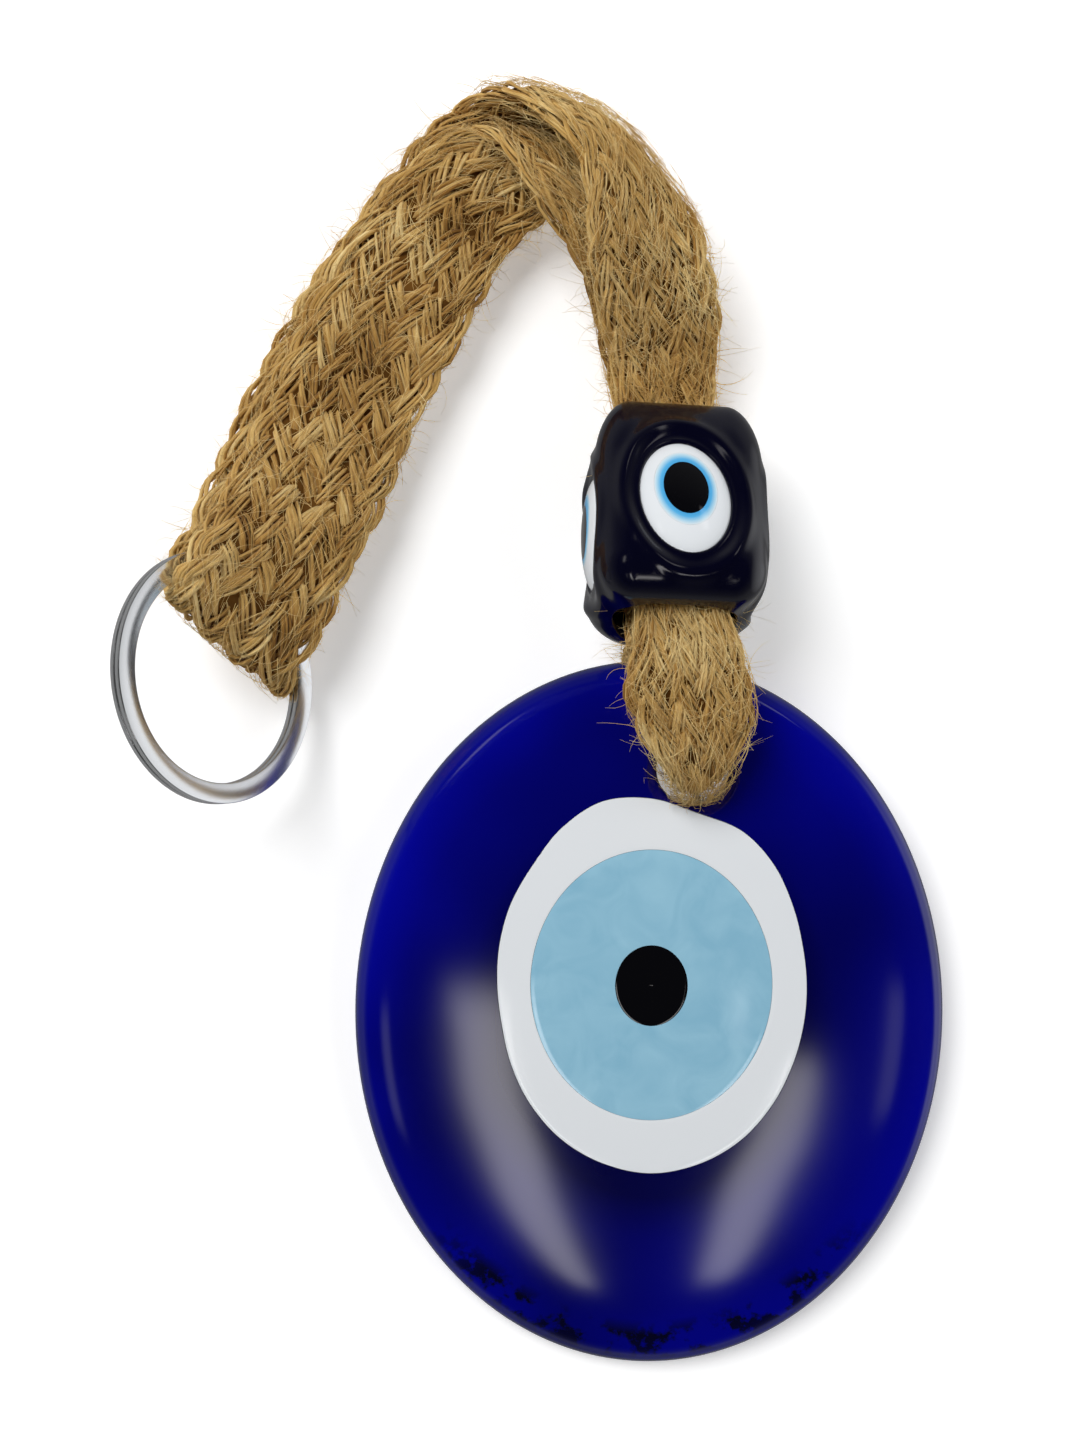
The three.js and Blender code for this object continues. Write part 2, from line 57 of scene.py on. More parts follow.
camera_data = bpy.data.cameras.new("camera")
camera_data.sensor_fit = "VERTICAL"
camera_data.sensor_height = CAMERA_SENSOR
camera_data.lens = CAMERA_LENS
camera_data.clip_start = CAMERA_CLIP
camera = bpy.data.objects.new("camera", camera_data)
camera.location = CAMERA_PLACE
bpy.context.collection.objects.link(camera)
bpy.context.scene.camera = camera
bpy.context.scene.view_settings.view_transform = "Standard"


# ---- meshes ----
def add_mesh(name, points, faces, uv=None, tint=None):
    """A smooth-shaded object from points (n, 3) and a list of faces, with one uv and tint per point."""
    mesh = bpy.data.meshes.new(name)
    mesh.from_pydata(np.asarray(points).tolist(), [], faces)
    mesh.update()
    loops = np.empty(len(mesh.loops), int)
    mesh.loops.foreach_get("vertex_index", loops)
    if uv is not None:
        layer = mesh.uv_layers.new(name="UVMap")
        layer.data.foreach_set("uv", np.asarray(uv, float)[loops].ravel())
    if tint is not None:
        layer = mesh.attributes.new("tint", "FLOAT", "POINT")
        layer.data.foreach_set("value", np.asarray(tint, float))
    mesh.polygons.foreach_set("use_smooth", np.ones(len(mesh.polygons), bool))
    obj = bpy.data.objects.new(name, mesh)
    bpy.context.collection.objects.link(obj)
    return obj


def sharpen(obj, degrees=40):
    """Marks the edges sharper than this, so that smooth shading stops at them."""
    shape = bmesh.new()
    shape.from_mesh(obj.data)
    bmesh.ops.recalc_face_normals(shape, faces=shape.faces)
    for edge in shape.edges:
        edge.smooth = edge.calc_face_angle(0) < math.radians(degrees)
    shape.to_mesh(obj.data)
    shape.free()


def cut(obj, cutter):
    """Subtracts the cutter from the object and removes the cutter."""
    modifier = obj.modifiers.new("cut", "BOOLEAN")
    modifier.operation = "DIFFERENCE"
    modifier.solver = "EXACT"
    modifier.object = cutter
    bpy.context.view_layer.update()
    result = obj.evaluated_get(bpy.context.evaluated_depsgraph_get())
    mesh = bpy.data.meshes.new_from_object(result)
    obj.modifiers.clear()
    old = obj.data
    obj.data = mesh
    bpy.data.meshes.remove(old)
    bpy.data.objects.remove(cutter)


def ring_faces(rings, sides, closed_ends=True, first=0):
    """Quads between rings of points, and a face over each end ring."""
    faces = []
    for ring in range(rings - 1):
        low = first + ring * sides
        for side in range(sides):
            turn = (side + 1) % sides
            faces.append((low + side, low + turn, low + sides + turn, low + sides + side))
    if closed_ends:
        last = first + (rings - 1) * sides
        faces.append(tuple(range(first + sides - 1, first - 1, -1)))
        faces.append(tuple(range(last, last + sides)))
    return faces


def hoop_faces(rings, sides):
    """Quads between rings of points, and from the last ring back to the first."""
    faces = ring_faces(rings, sides, closed_ends=False)
    last = (rings - 1) * sides
    for side in range(sides):
        turn = (side + 1) % sides
        faces.append((last + side, last + turn, turn, side))
    return faces


def unit_circle(count):
    """Points (count, 2) round a circle of radius 1."""
    angle = np.linspace(0, 2 * math.pi, count, endpoint=False)
    return np.stack([np.cos(angle), np.sin(angle)], -1)


def layer(points, height):
    """Points of a plane at a height, as one ring."""
    return np.column_stack([points, np.broadcast_to(height, len(points))])


def smooth_step(value, low, high):
    """0 up to low, 1 from high on, and a smooth change between them."""
    t = np.clip((value - low) / (high - low), 0, 1)
    return t * t * (3 - 2 * t)


def oval_share(points, width, length):
    """0 at an oval's centre and 1 at its edge, over points about that centre."""
    return np.hypot(points[..., 0] / (width / 2), points[..., 1] / (length / 2))


# ---- strap: the route ----
# Each station holds the braid's left edge and right edge, then how far its middle bulges where it
# does, then its thickness where it isn't the usual one.
LAYER_THICKNESS = 0.0041
FRONT_TONGUE = (
    ((0.0025, 0.0337, 0.0124), (0.0089, 0.0337, 0.0124), 0.0007, 0.007),
    ((0.0013, 0.0345, 0.0154), (0.0101, 0.0345, 0.0154), 0.0009, 0.0062),
    ((-0.0011, 0.0373, 0.0178), (0.0121, 0.0373, 0.0178), 0.0011, 0.0052),
    ((-0.0035, 0.0416, 0.0194), (0.0133, 0.0416, 0.0194), 0.0012, 0.0046),
    ((-0.0039, 0.0458, 0.0207), (0.0127, 0.0458, 0.0207), 0.0011, 0.0044),
    ((-0.003, 0.0504, 0.0217), (0.0113, 0.0504, 0.0217), 0.0006),
)
BACK_LOOP = (
    ((0.003, 0.0339, 0.0044), (0.0084, 0.0339, 0.0044), 0.0002, 0.0046),
    ((0.0012, 0.0356, 0.0026), (0.0096, 0.0356, 0.0026), 0, 0.0036),
    ((-0.0016, 0.039, 0.0022), (0.0102, 0.039, 0.0022), 0, 0.0034),
    ((-0.0032, 0.044, 0.0022), (0.0098, 0.044, 0.0022), 0, 0.0032),
    ((-0.0037, 0.0482, 0.0032), (0.0092, 0.0482, 0.0032), 0, 0.0022),
    ((-0.0037, 0.0503, 0.0068), (0.0093, 0.0503, 0.0068), 0, 0.0018),
    ((-0.0035, 0.0501, 0.0102), (0.0095, 0.0501, 0.0102), 0, 0.0015),
    ((-0.0034, 0.049, 0.0132), (0.0098, 0.049, 0.0132), 0, 0.0016),
    ((-0.0033, 0.0504, 0.0164), (0.0101, 0.0504, 0.0164), 0, 0.0026),
)
OUTER_BEND = (
    ((-0.0058, 0.0905, 0.0086), (0.0093, 0.0905, 0.0084)),
    ((-0.007, 0.095, 0.0112), (0.0093, 0.095, 0.0109)),
    ((-0.008, 0.0995, 0.014), (0.0088, 0.099, 0.0134)),
    ((-0.009, 0.104, 0.0168), (0.0072, 0.1045, 0.0146), 0.0003),
    ((-0.009, 0.109, 0.019), (0.0048, 0.109, 0.0142), 0.0008),
    ((-0.01, 0.114, 0.0202), (0.0016, 0.1125, 0.0132), 0.0012),
    ((-0.0125, 0.118, 0.02), (-0.0012, 0.1155, 0.0116), 0.0018),
    ((-0.016, 0.1215, 0.018), (-0.0036, 0.1175, 0.0094), 0.002),
    ((-0.0195, 0.1245, 0.0146), (-0.006, 0.1184, 0.007), 0.0018),
    ((-0.0225, 0.1262, 0.0102), (-0.0082, 0.118, 0.0048), 0.0014),
    ((-0.025, 0.1262, 0.006), (-0.01, 0.1168, 0.0032), 0.0006),
    ((-0.0276, 0.1252, 0.0034), (-0.012, 0.1148, 0.0025), 0.0001),
)
OUTER_LIMB = (
    ((-0.031, 0.123, 0.0024), (-0.0145, 0.1115, 0.0024)),
    ((-0.0366, 0.116, 0.0024), (-0.0205, 0.106, 0.0024)),
    ((-0.0434, 0.107, 0.0024), (-0.026, 0.0985, 0.0024)),
    ((-0.049, 0.0986, 0.0024), (-0.0305, 0.0905, 0.0024)),
    ((-0.054, 0.0896, 0.0024), (-0.035, 0.082, 0.0024)),
    ((-0.0582, 0.0808, 0.0024), (-0.0385, 0.0725, 0.0024)),
    ((-0.0612, 0.0735, 0.004), (-0.042, 0.065, 0.0024)),
    ((-0.063, 0.0675, 0.0084), (-0.0454, 0.0576, 0.0021), 0, 0.0034),
    ((-0.0646, 0.0622, 0.0146), (-0.0492, 0.0484, 0.0019), 0, 0.0028),
)
INNER_BEND = (
    ((-0.006, 0.089, 0.0033), (0.0092, 0.089, 0.0032)),
    ((-0.0072, 0.0946, 0.0049), (0.0088, 0.0946, 0.0047)),
    ((-0.0085, 0.0995, 0.0092), (0.008, 0.0995, 0.0088)),
    ((-0.0105, 0.1035, 0.0118), (0.0065, 0.105, 0.0094), 0.0002),
    ((-0.0135, 0.1075, 0.0136), (0.004, 0.1085, 0.0092), 0.0004),
    ((-0.016, 0.111, 0.0144), (0.001, 0.1115, 0.0088), 0.0006),
    ((-0.0185, 0.115, 0.0142), (-0.002, 0.1135, 0.0083), 0.0008),
    ((-0.0205, 0.1185, 0.0126), (-0.005, 0.114, 0.0078), 0.0008),
    ((-0.0222, 0.1208, 0.0102), (-0.008, 0.1135, 0.0073), 0.0006),
    ((-0.0245, 0.1218, 0.0082), (-0.0105, 0.1123, 0.007), 0.0003),
    ((-0.027, 0.121, 0.0072), (-0.013, 0.1105, 0.0069)),
)
INNER_LIMB = (
    ((-0.03, 0.1195, 0.0069), (-0.0155, 0.108, 0.0069)),
    ((-0.0355, 0.1145, 0.0069), (-0.0195, 0.1045, 0.0069)),
    ((-0.042, 0.106, 0.0069), (-0.024, 0.0965, 0.0069)),
    ((-0.047, 0.0975, 0.0069), (-0.028, 0.089, 0.0069)),
    ((-0.051, 0.089, 0.0071), (-0.032, 0.081, 0.0069)),
    ((-0.0545, 0.0805, 0.0088), (-0.0355, 0.072, 0.0071)),
    ((-0.0568, 0.073, 0.0136), (-0.039, 0.0645, 0.0082)),
    ((-0.0588, 0.0666, 0.0196), (-0.0428, 0.0565, 0.0094), 0, 0.0038),
)
RING_FOLD = (
    ((-0.0606, 0.0622, 0.0238), (-0.0458, 0.051, 0.0098), 0, 0.0032),
    ((-0.062, 0.0597, 0.0244), (-0.0478, 0.0476, 0.0092), 0, 0.0026),
    ((-0.0635, 0.0575, 0.0213), (-0.0498, 0.0444, 0.0068), 0, 0.0023),
    ((-0.0646, 0.0586, 0.0176), (-0.0506, 0.0446, 0.0036), 0, 0.0023),
)
BEAD_CENTRE = (0.0026, 0.06635, 0.0142)
BEAD_PITCH = math.radians(25)
BEAD_ROLL = math.radians(6)
MOUTH_STOP = -0.0134  # along the bore, at the mouth by the disc
BORE_STOPS = (-0.010, -0.005, 0, 0.005, 0.010, 0.014, 0.0189)
BORE_LAYER_X = 0.0027
BORE_LAYER_DRIFT = 0.03  # how far the layers lean to the left for each metre of the bore
BORE_LAYER_WIDTH = 0.0136
BORE_MOUTH_WIDTH = 0.0120
BORE_LAYER_THICKNESS = 0.0038
BORE_LAYER_HEIGHT = 0.0025  # of each layer's middle, above or below the bore's axis


def bore_station(along, above, width):
    """The strap's straight stretch in the bead's bore, at a height above the bore's axis."""
    x = BORE_LAYER_X - along * BORE_LAYER_DRIFT
    y = BEAD_CENTRE[1] + along * math.cos(BEAD_PITCH) + above * math.sin(BEAD_PITCH)
    z = BEAD_CENTRE[2] - along * math.sin(BEAD_PITCH) + above * math.cos(BEAD_PITCH)
    return (x - width / 2, y, z), (x + width / 2, y, z), 0, BORE_LAYER_THICKNESS


def bore_run(above, mouth_width):
    """The stations of one layer of the strap through the bore."""
    run = [bore_station(along, above, BORE_LAYER_WIDTH) for along in BORE_STOPS]
    return [bore_station(MOUTH_STOP, above, mouth_width), *run]


OUTER_STATIONS = [BACK_LOOP[0], *FRONT_TONGUE, *bore_run(BORE_LAYER_HEIGHT, BORE_MOUTH_WIDTH),
                  *OUTER_BEND, *OUTER_LIMB]
INNER_STATIONS = [*BACK_LOOP, *bore_run(-BORE_LAYER_HEIGHT, BORE_LAYER_WIDTH), *INNER_BEND,
                  *INNER_LIMB, *RING_FOLD, OUTER_LIMB[-1]]


def curve_through(points, steps=24):
    """A Catmull-Rom curve through rows of numbers, with this many steps from each to the next."""
    rows = np.asarray(points, float)
    rows = np.vstack([2 * rows[0] - rows[1], rows, 2 * rows[-1] - rows[-2]])
    t = np.linspace(0, 1, steps, endpoint=False)[:, None]
    parts = []
    for before, start, end, after in zip(rows, rows[1:], rows[2:], rows[3:]):
        slope = (end - before) / 2
        next_slope = (after - start) / 2
        bend = 3 * (end - start) - 2 * slope - next_slope
        twist = 2 * (start - end) + slope + next_slope
        parts.append(start + slope * t + bend * t**2 + twist * t**3)
    return np.vstack([*parts, rows[-2:-1]])


def station_row(left, right, bulge=0, thickness=LAYER_THICKNESS):
    """A station as one row of eight numbers."""
    return [*left, *right, thickness, bulge]


class Band:
    """The strap's flat band: maps a length along it, a place across it and a height to a point."""

    def __init__(self, stations):
        fine = curve_through([station_row(*station) for station in stations])
        left, right = fine[:, :3], fine[:, 3:6]
        centre = (left + right) / 2
        steps = np.linalg.norm(np.diff(centre, axis=0), axis=1)
        along = np.concatenate([[0], np.cumsum(steps)])
        out = np.cross(right - left, np.gradient(centre, axis=0))
        out /= np.linalg.norm(out, axis=1)[:, None]
        self.along = along
        self.length = along[-1]
        self.table = np.hstack([left, right, out, fine[:, 6:8]])

    def at(self, s):
        s = np.clip(s, 0, self.length)
        return [np.interp(s, self.along, column) for column in self.table.T]

    def point(self, s, across, height):
        """across runs from -1 at the left edge to 1 at the right edge."""
        row = self.at(s)
        left = np.stack(row[0:3], -1)
        right = np.stack(row[3:6], -1)
        out = np.stack(row[6:9], -1)
        share = ((across + 1) / 2)[..., None]
        lift = (row[10] * (1 - across**2) + height)[..., None]
        return left + (right - left) * share + out * lift

    def width(self, s):
        row = self.at(s)
        return np.linalg.norm(np.stack(row[3:6], -1) - np.stack(row[0:3], -1), axis=-1)

    def thickness(self, s):
        return self.at(s)[9]


# ---- strap: the braid ----
STRANDS = 15
COLUMNS = 7  # herringbone columns across the braid
BRAID_PERIOD = 0.074  # length in which a strand crosses to the other edge and back
BRAID_WIDTH = 0.0215
YARNS = 9  # yarns in a strand
YARN_RADIUS = 0.00027
YARN_RADIUS_SHARES = (0.5, 1.5)  # the thinnest and the thickest yarn
YARN_SIDES = 4
YARN_STEP = 0.0012
STRAND_HALF_WIDTH = 0.00098
STRAND_HALF_HEIGHT = 0.00060
STRAND_LAY = 0.030  # length in which a strand's yarns twist once round
STRAND_OFFSET = 0.37  # turns from one strand's twist to the next one's
STRAND_SLOPE = 1.02  # how much steeper than its path a strand's yarns lie
EDGE_ROUND = 0.985  # below 1, so that a strand turns back smoothly at the edge
EDGE_INSET = 0.09  # share of the half width that the strands keep clear of the edge
EDGE_REACH = 1.02  # the furthest that a yarn goes, as a share of the half width
WEAVE_CRISP = 2.0  # how suddenly a strand dips from over to under
WEAVE_DEPTH = 0.95  # share of a strand layer's height that the dips use
CROWDING = (0.45, 1.1)  # how narrow and how wide the band gets, as shares of its usual width
# How unevenly the yarns lie: the length over which a value changes, and how much it does.
TURN_WANDER = (0.012, 0.07)
ASIDE_WANDER = (0.008, 0.26)
LIFT_WANDER = (0.007, 0.30)
SIZE_WANDER = (0.006, 0.28)
TINT_WANDER = (0.02, 0.35)
CORE_RING = ((-0.86, 0), (-0.7, 1), (0, 1), (0.7, 1), (0.86, 0), (0.7, -1), (0, -1), (-0.7, -1))
CORE_THICKNESS = 0.12  # half the core's thickness, as a share of the braid's
CORE_MARGIN = 0.0005
CORE_STEP = 0.002
# The core band's tint, which takes it nearly to black: painted shade between the strands.
CORE_SHADE_TINT = -2.0


def wander(steps, over, amount):
    """A random value along each strand, which changes smoothly over the given length."""
    knots = max(4, int(steps * YARN_STEP / over) + 3)
    values = rng.normal(0, amount, (STRANDS, knots))
    at = np.linspace(0, knots - 1.001, steps)
    low = at.astype(int)
    part = at - low
    part = part * part * (3 - 2 * part)
    return values[:, low] * (1 - part) + values[:, np.minimum(low + 1, knots - 1)] * part


def tubes(lines, radii, sides):
    """Closed tubes round lines of points: lines is (n, m, 3) and radii (n, m)."""
    count, steps, _ = lines.shape
    ahead = np.gradient(lines, axis=1)
    ahead /= np.linalg.norm(ahead, axis=2)[..., None] + 1e-12
    aside = np.cross(ahead, np.array([0.31, 0.23, 0.92]))
    aside /= np.linalg.norm(aside, axis=2)[..., None] + 1e-12
    above = np.cross(ahead, aside)
    x, y = unit_circle(sides).T[..., None]
    ring = aside[:, :, None] * x + above[:, :, None] * y
    points = lines[:, :, None] + ring * radii[:, :, None, None]
    faces = []
    for index in range(count):
        faces += ring_faces(steps, sides, first=index * steps * sides)
    return points.reshape(-1, 3), faces


def braid(name, band):
    """Every yarn of the braid, plaited along the band, in one mesh."""
    steps = int(band.length / YARN_STEP)
    s = np.linspace(0, band.length, steps)[None, :]
    strand = np.arange(STRANDS)[:, None]
    turn = 2 * math.pi * (s / BRAID_PERIOD + strand / STRANDS)
    turn = turn + wander(steps, *TURN_WANDER)
    wave = EDGE_ROUND * np.sin(turn)
    across = np.arcsin(wave) / math.asin(EDGE_ROUND)
    side = EDGE_ROUND * np.cos(turn) / np.sqrt(1 - wave**2)
    weave = np.sin(math.pi * COLUMNS * (across + 1) / 2)
    weave = np.tanh(WEAVE_CRISP * weave) / math.tanh(WEAVE_CRISP)
    width = band.width(s)
    crowd = np.clip(width / BRAID_WIDTH, *CROWDING)
    half_layer = band.thickness(s) / 4 * np.sqrt(np.clip(1 - across**4, 0, 1))
    height = side * weave * half_layer * WEAVE_DEPTH
    tilt = np.arctan(side * 2 * width / BRAID_PERIOD * STRAND_SLOPE)
    lines, radii, tints, lays = [], [], [], []
    tint_of_strand = rng.uniform(-0.5, 0.5, STRANDS)[:, None]
    for yarn in range(YARNS):
        twist = 2 * math.pi * (yarn / YARNS + s / STRAND_LAY + STRAND_OFFSET * strand)
        loose = wander(steps, *ASIDE_WANDER)
        lift = wander(steps, *LIFT_WANDER)
        aside = (np.cos(twist) + loose) * STRAND_HALF_WIDTH * crowd**0.6
        above = (np.sin(twist) + lift) * STRAND_HALF_HEIGHT
        place = across * (1 - EDGE_INSET / crowd) + 2 * aside * np.cos(tilt) / width
        place = np.clip(place, -EDGE_REACH, EDGE_REACH)
        lines.append(band.point(s - aside * np.sin(tilt), place, height + above))
        size = np.clip(1 + wander(steps, *SIZE_WANDER), *YARN_RADIUS_SHARES)
        radii.append(YARN_RADIUS * size * crowd**0.35)
        tint = tint_of_strand + wander(steps, *TINT_WANDER)
        tints.append(tint + rng.uniform(-0.5, 0.5, (STRANDS, 1)))
        lays.append(s + 0 * strand + rng.uniform(0, 1, (STRANDS, 1)))
    points, faces = tubes(np.concatenate(lines), np.concatenate(radii), YARN_SIDES)
    tint = np.repeat(np.concatenate(tints).ravel(), YARN_SIDES)
    along = np.repeat(np.concatenate(lays).ravel(), YARN_SIDES)
    around = np.tile(np.arange(YARN_SIDES) / YARN_SIDES, len(along) // YARN_SIDES)
    # The core band is a dark sheet of painted shade behind the gaps between the strands.
    shade_core, shade_core_faces = painted_shade_core(band, len(points))
    none = np.zeros(len(shade_core))
    uv = np.stack([np.append(along, none), np.append(around, none)], -1)
    tint = np.append(tint, np.full(len(shade_core), CORE_SHADE_TINT))
    return add_mesh(name, np.vstack([points, shade_core]), faces + shade_core_faces, uv, tint)


def painted_shade_core(band, first):
    """A thin dark band inside the braid, which closes the view through its gaps; its darkness is
    painted shade.
    """
    end = band.length - CORE_MARGIN
    stops = np.linspace(CORE_MARGIN, end, int(band.length / CORE_STEP))
    across, side = np.array(CORE_RING).T[:, None]
    s = stops[:, None] + 0 * across
    points = band.point(s, across + 0 * s, side * band.thickness(s) * CORE_THICKNESS)
    return points.reshape(-1, 3), ring_faces(len(stops), len(CORE_RING), first=first)


# ---- strap: loose fibres ----
FIBRE_RADIUS = 0.000042
FIBRE_RADIUS_SHARES = (0.7, 1.3)
FIBRE_TAPER = 0.6  # share of its radius that a fibre loses towards its tip
FIBRE_STEPS = 6
FIBRE_SIDES = 3
FIBRE_MARGIN = 0.0015  # no fibre is rooted nearer to an end of the braid
FIBRE_CLEARANCE = 0.0002  # over the braid, and over the table
FIBRE_TINTS = (0.2, 1.6)
FACE_CHANCES = (0.35, 0.65)  # that a fibre is on the back, and on the front
LYING_ACROSS = 0.97
LYING_LENGTHS = (0.003, 0.009)
LYING_RISES = (0.02, 0.20)
LYING_HEADING = 0.55  # spread about the strap's own direction, in radians
LYING_CURL = 110  # spread, in radians for each metre of fibre
STANDING_ACROSS = (0.55, 1.0)
STANDING_LENGTH = (2.2, 0.0012)  # shape and scale of a gamma spread
STANDING_LONGEST = 0.0065
STANDING_RISE = (0.10, 0.35)  # middle and spread
STANDING_HEADING = 1.0
STANDING_CURL = 260
STANDING_SKIN = 0.5  # a standing fibre comes out this far up the braid's half thickness


def fibres(name, band, lying, standing):
    """Jute fibres that have come loose: some lie on the braid, and some stand off its edges."""
    count = lying + standing
    stands = np.arange(count) >= lying
    root = rng.uniform(FIBRE_MARGIN, band.length - FIBRE_MARGIN, count)
    edge = rng.choice([-1.0, 1.0], count)
    standing_across = edge * rng.uniform(*STANDING_ACROSS, count)
    lying_across = rng.uniform(-LYING_ACROSS, LYING_ACROSS, count)
    across = np.where(stands, standing_across, lying_across)
    face = rng.choice([-1.0, 1.0], count, p=FACE_CHANCES)
    standing_length = np.minimum(rng.gamma(*STANDING_LENGTH, count), STANDING_LONGEST)
    lying_length = rng.uniform(*LYING_LENGTHS, count)
    length = np.where(stands, standing_length, lying_length)
    standing_heading = rng.normal(0, STANDING_HEADING, count)
    lying_heading = rng.normal(0, LYING_HEADING, count)
    heading = np.where(stands, standing_heading, lying_heading)
    heading += np.where(rng.uniform(size=count) < 0.5, math.pi, 0)
    curl = rng.normal(0, np.where(stands, STANDING_CURL, LYING_CURL), count)
    standing_rise = rng.normal(*STANDING_RISE, count)
    lying_rise = rng.uniform(*LYING_RISES, count)
    rise = np.where(stands, standing_rise, lying_rise)
    fall = rng.uniform(0, 1, count)
    t = np.linspace(0, 1, FIBRE_STEPS)[None, :]
    reach = length[:, None] * t
    angle = heading[:, None] + curl[:, None] * reach
    step = length[:, None] / (FIBRE_STEPS - 1)
    ahead = np.cumsum(np.cos(angle) * step, axis=1) - np.cos(angle[:, :1]) * step
    sideways = np.cumsum(np.sin(angle) * step, axis=1) - np.sin(angle[:, :1]) * step
    sideways = np.where(stands[:, None], np.abs(sideways) * edge[:, None], sideways)
    s = root[:, None] + ahead
    width = band.width(s)
    skin = band.thickness(s) / 2 * np.sqrt(np.clip(1 - np.clip(across, -1, 1) ** 4, 0, 1))[:, None]
    rooted = skin * np.where(stands, STANDING_SKIN, 1.0)[:, None]
    lift = face[:, None] * (rooted + FIBRE_CLEARANCE)
    lift = lift + face[:, None] * rise[:, None] * reach * (1 - fall[:, None] * t)
    place = across[:, None] + 2 * sideways / width
    place = np.where(stands[:, None], place, np.clip(place, -1.0, 1.0))
    lines = band.point(s, place, lift)
    lines[..., 2] = np.maximum(lines[..., 2], FIBRE_CLEARANCE)
    radii = FIBRE_RADIUS * (1 - FIBRE_TAPER * t) * rng.uniform(*FIBRE_RADIUS_SHARES, (count, 1))
    points, faces = tubes(lines, radii, FIBRE_SIDES)
    tint = np.repeat(rng.uniform(*FIBRE_TINTS, count), FIBRE_STEPS * FIBRE_SIDES)
    return add_mesh(name, points, faces, np.zeros((len(points), 2)), tint)


def lay_strap(name, stations, parts, lying, standing):
    """One of the strap's two lengths: its braid, its loose fibres and its facts as a flat cord."""
    band = Band(stations)
    plait = braid(name, band)
    fuzz = fibres(name + "_fibres", band, lying, standing)
    for obj in (plait, fuzz):
        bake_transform(obj)
    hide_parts(*("strap_" + part for part in parts))
    return plait, fuzz


outer_strap = lay_strap(
    "strap_outer_braid", OUTER_STATIONS,
    ("hole_core", "front_tongue", "outer_rise", "outer_bend", "outer_limb", "outer_end"),
    lying=6500, standing=2000)
inner_strap = lay_strap(
    "strap_inner_braid", INNER_STATIONS,
    ("back_loop", "inner_rise", "inner_bend", "inner_limb", "inner_end", "ring_fold"),
    lying=7000, standing=2200)


# ---- materials ----
JUTE_SHEEN = 0.12
JUTE_SHEEN_ROUGHNESS = 0.5


def new_material(name, colour, roughness, metallic=0.0, specular=0.5):
    """A surface of one colour, with its shader and node tree for more to be added."""
    material = bpy.data.materials.new(name)
    material.use_nodes = True
    tree = material.node_tree
    shader = tree.nodes["Principled BSDF"]
    shader.inputs["Base Color"].default_value = (*colour, 1)
    shader.inputs["Roughness"].default_value = roughness
    shader.inputs["Metallic"].default_value = metallic
    shader.inputs["Specular IOR Level"].default_value = specular
    return material, tree, shader


def add_node(tree, kind, settings=(), **inputs):
    """A node with its settings and inputs. An input is a value or another node's output, and its
    key is the socket's name, or n and the socket's number."""
    node = tree.nodes.new("ShaderNode" + kind)
    for key, value in dict(settings).items():
        setattr(node, key, value)
    for key, value in inputs.items():
        numbered = key[0] == "n" and key[1:].isdigit()
        socket = node.inputs[int(key[1:]) if numbered else key.replace("_", " ")]
        if isinstance(value, bpy.types.NodeSocket):
            tree.links.new(value, socket)
        else:
            socket.default_value = value
    return node


def object_place(tree):
    """The object's own coordinates."""
    return add_node(tree, "TexCoord").outputs["Object"]


def noise(tree, place, **inputs):
    return add_node(tree, "TexNoise", Vector=place, **inputs).outputs["Fac"]


def ramp(tree, factor, stops):
    """A colour ramp: stops is a list of (place, colour), where one number is a grey."""
    node = add_node(tree, "ValToRGB", Fac=factor)
    elements = node.color_ramp.elements
    while len(elements) < len(stops):
        elements.new(0.5)
    for element, (place, colour) in zip(elements, stops):
        element.position = place
        element.color = (*np.broadcast_to(colour, 3), 1)
    return node.outputs["Color"]


def jute_material():
    """Tan fibres: every yarn has its own tint, and fine streaks run along it."""
    material, tree, shader = new_material("jute_fibre", (0.42, 0.26, 0.11), 0.9, specular=0.0)
    tint = add_node(tree, "Attribute", {"attribute_name": "tint"}).outputs["Fac"]
    place = add_node(tree, "UVMap", {"uv_map": "UVMap"}).outputs["UV"]
    stretched = add_node(tree, "Mapping", n0=place, Scale=(260, 5, 1)).outputs[0]
    streak = noise(tree, stretched, Scale=1.0, Detail=4.0, Roughness=0.7)
    patches = noise(tree, object_place(tree), Scale=90.0, Detail=3.0)
    total = -0.05
    for source, share in ((streak, 0.80), (patches, 0.6), (tint, 0.17)):
        total = add_node(tree, "Math", {"operation": "MULTIPLY_ADD"}, n0=source, n1=share,
                         n2=total).outputs[0]
    # The core band's low tint takes it to the dark end of this ramp, as painted shade.
    colour = ramp(tree, total, [
        (0.0, (0.016, 0.006, 0.002)), (0.36, (0.13, 0.056, 0.011)), (0.54, (0.40, 0.21, 0.052)),
        (0.74, (0.66, 0.42, 0.135)), (0.97, (0.93, 0.74, 0.36))])
    tree.links.new(colour, shader.inputs["Base Color"])
    bump = add_node(tree, "Bump", Strength=0.6, Distance=0.0003, Height=streak)
    tree.links.new(bump.outputs[0], shader.inputs["Normal"])
    shader.inputs["Sheen Weight"].default_value = JUTE_SHEEN
    shader.inputs["Sheen Roughness"].default_value = JUTE_SHEEN_ROUGHNESS
    return material


def wear(obj, material):
    """Gives the object this one material."""
    obj.data.materials.clear()
    obj.data.materials.append(material)


JUTE = jute_material()
for part in (*outer_strap, *inner_strap):
    wear(part, JUTE)

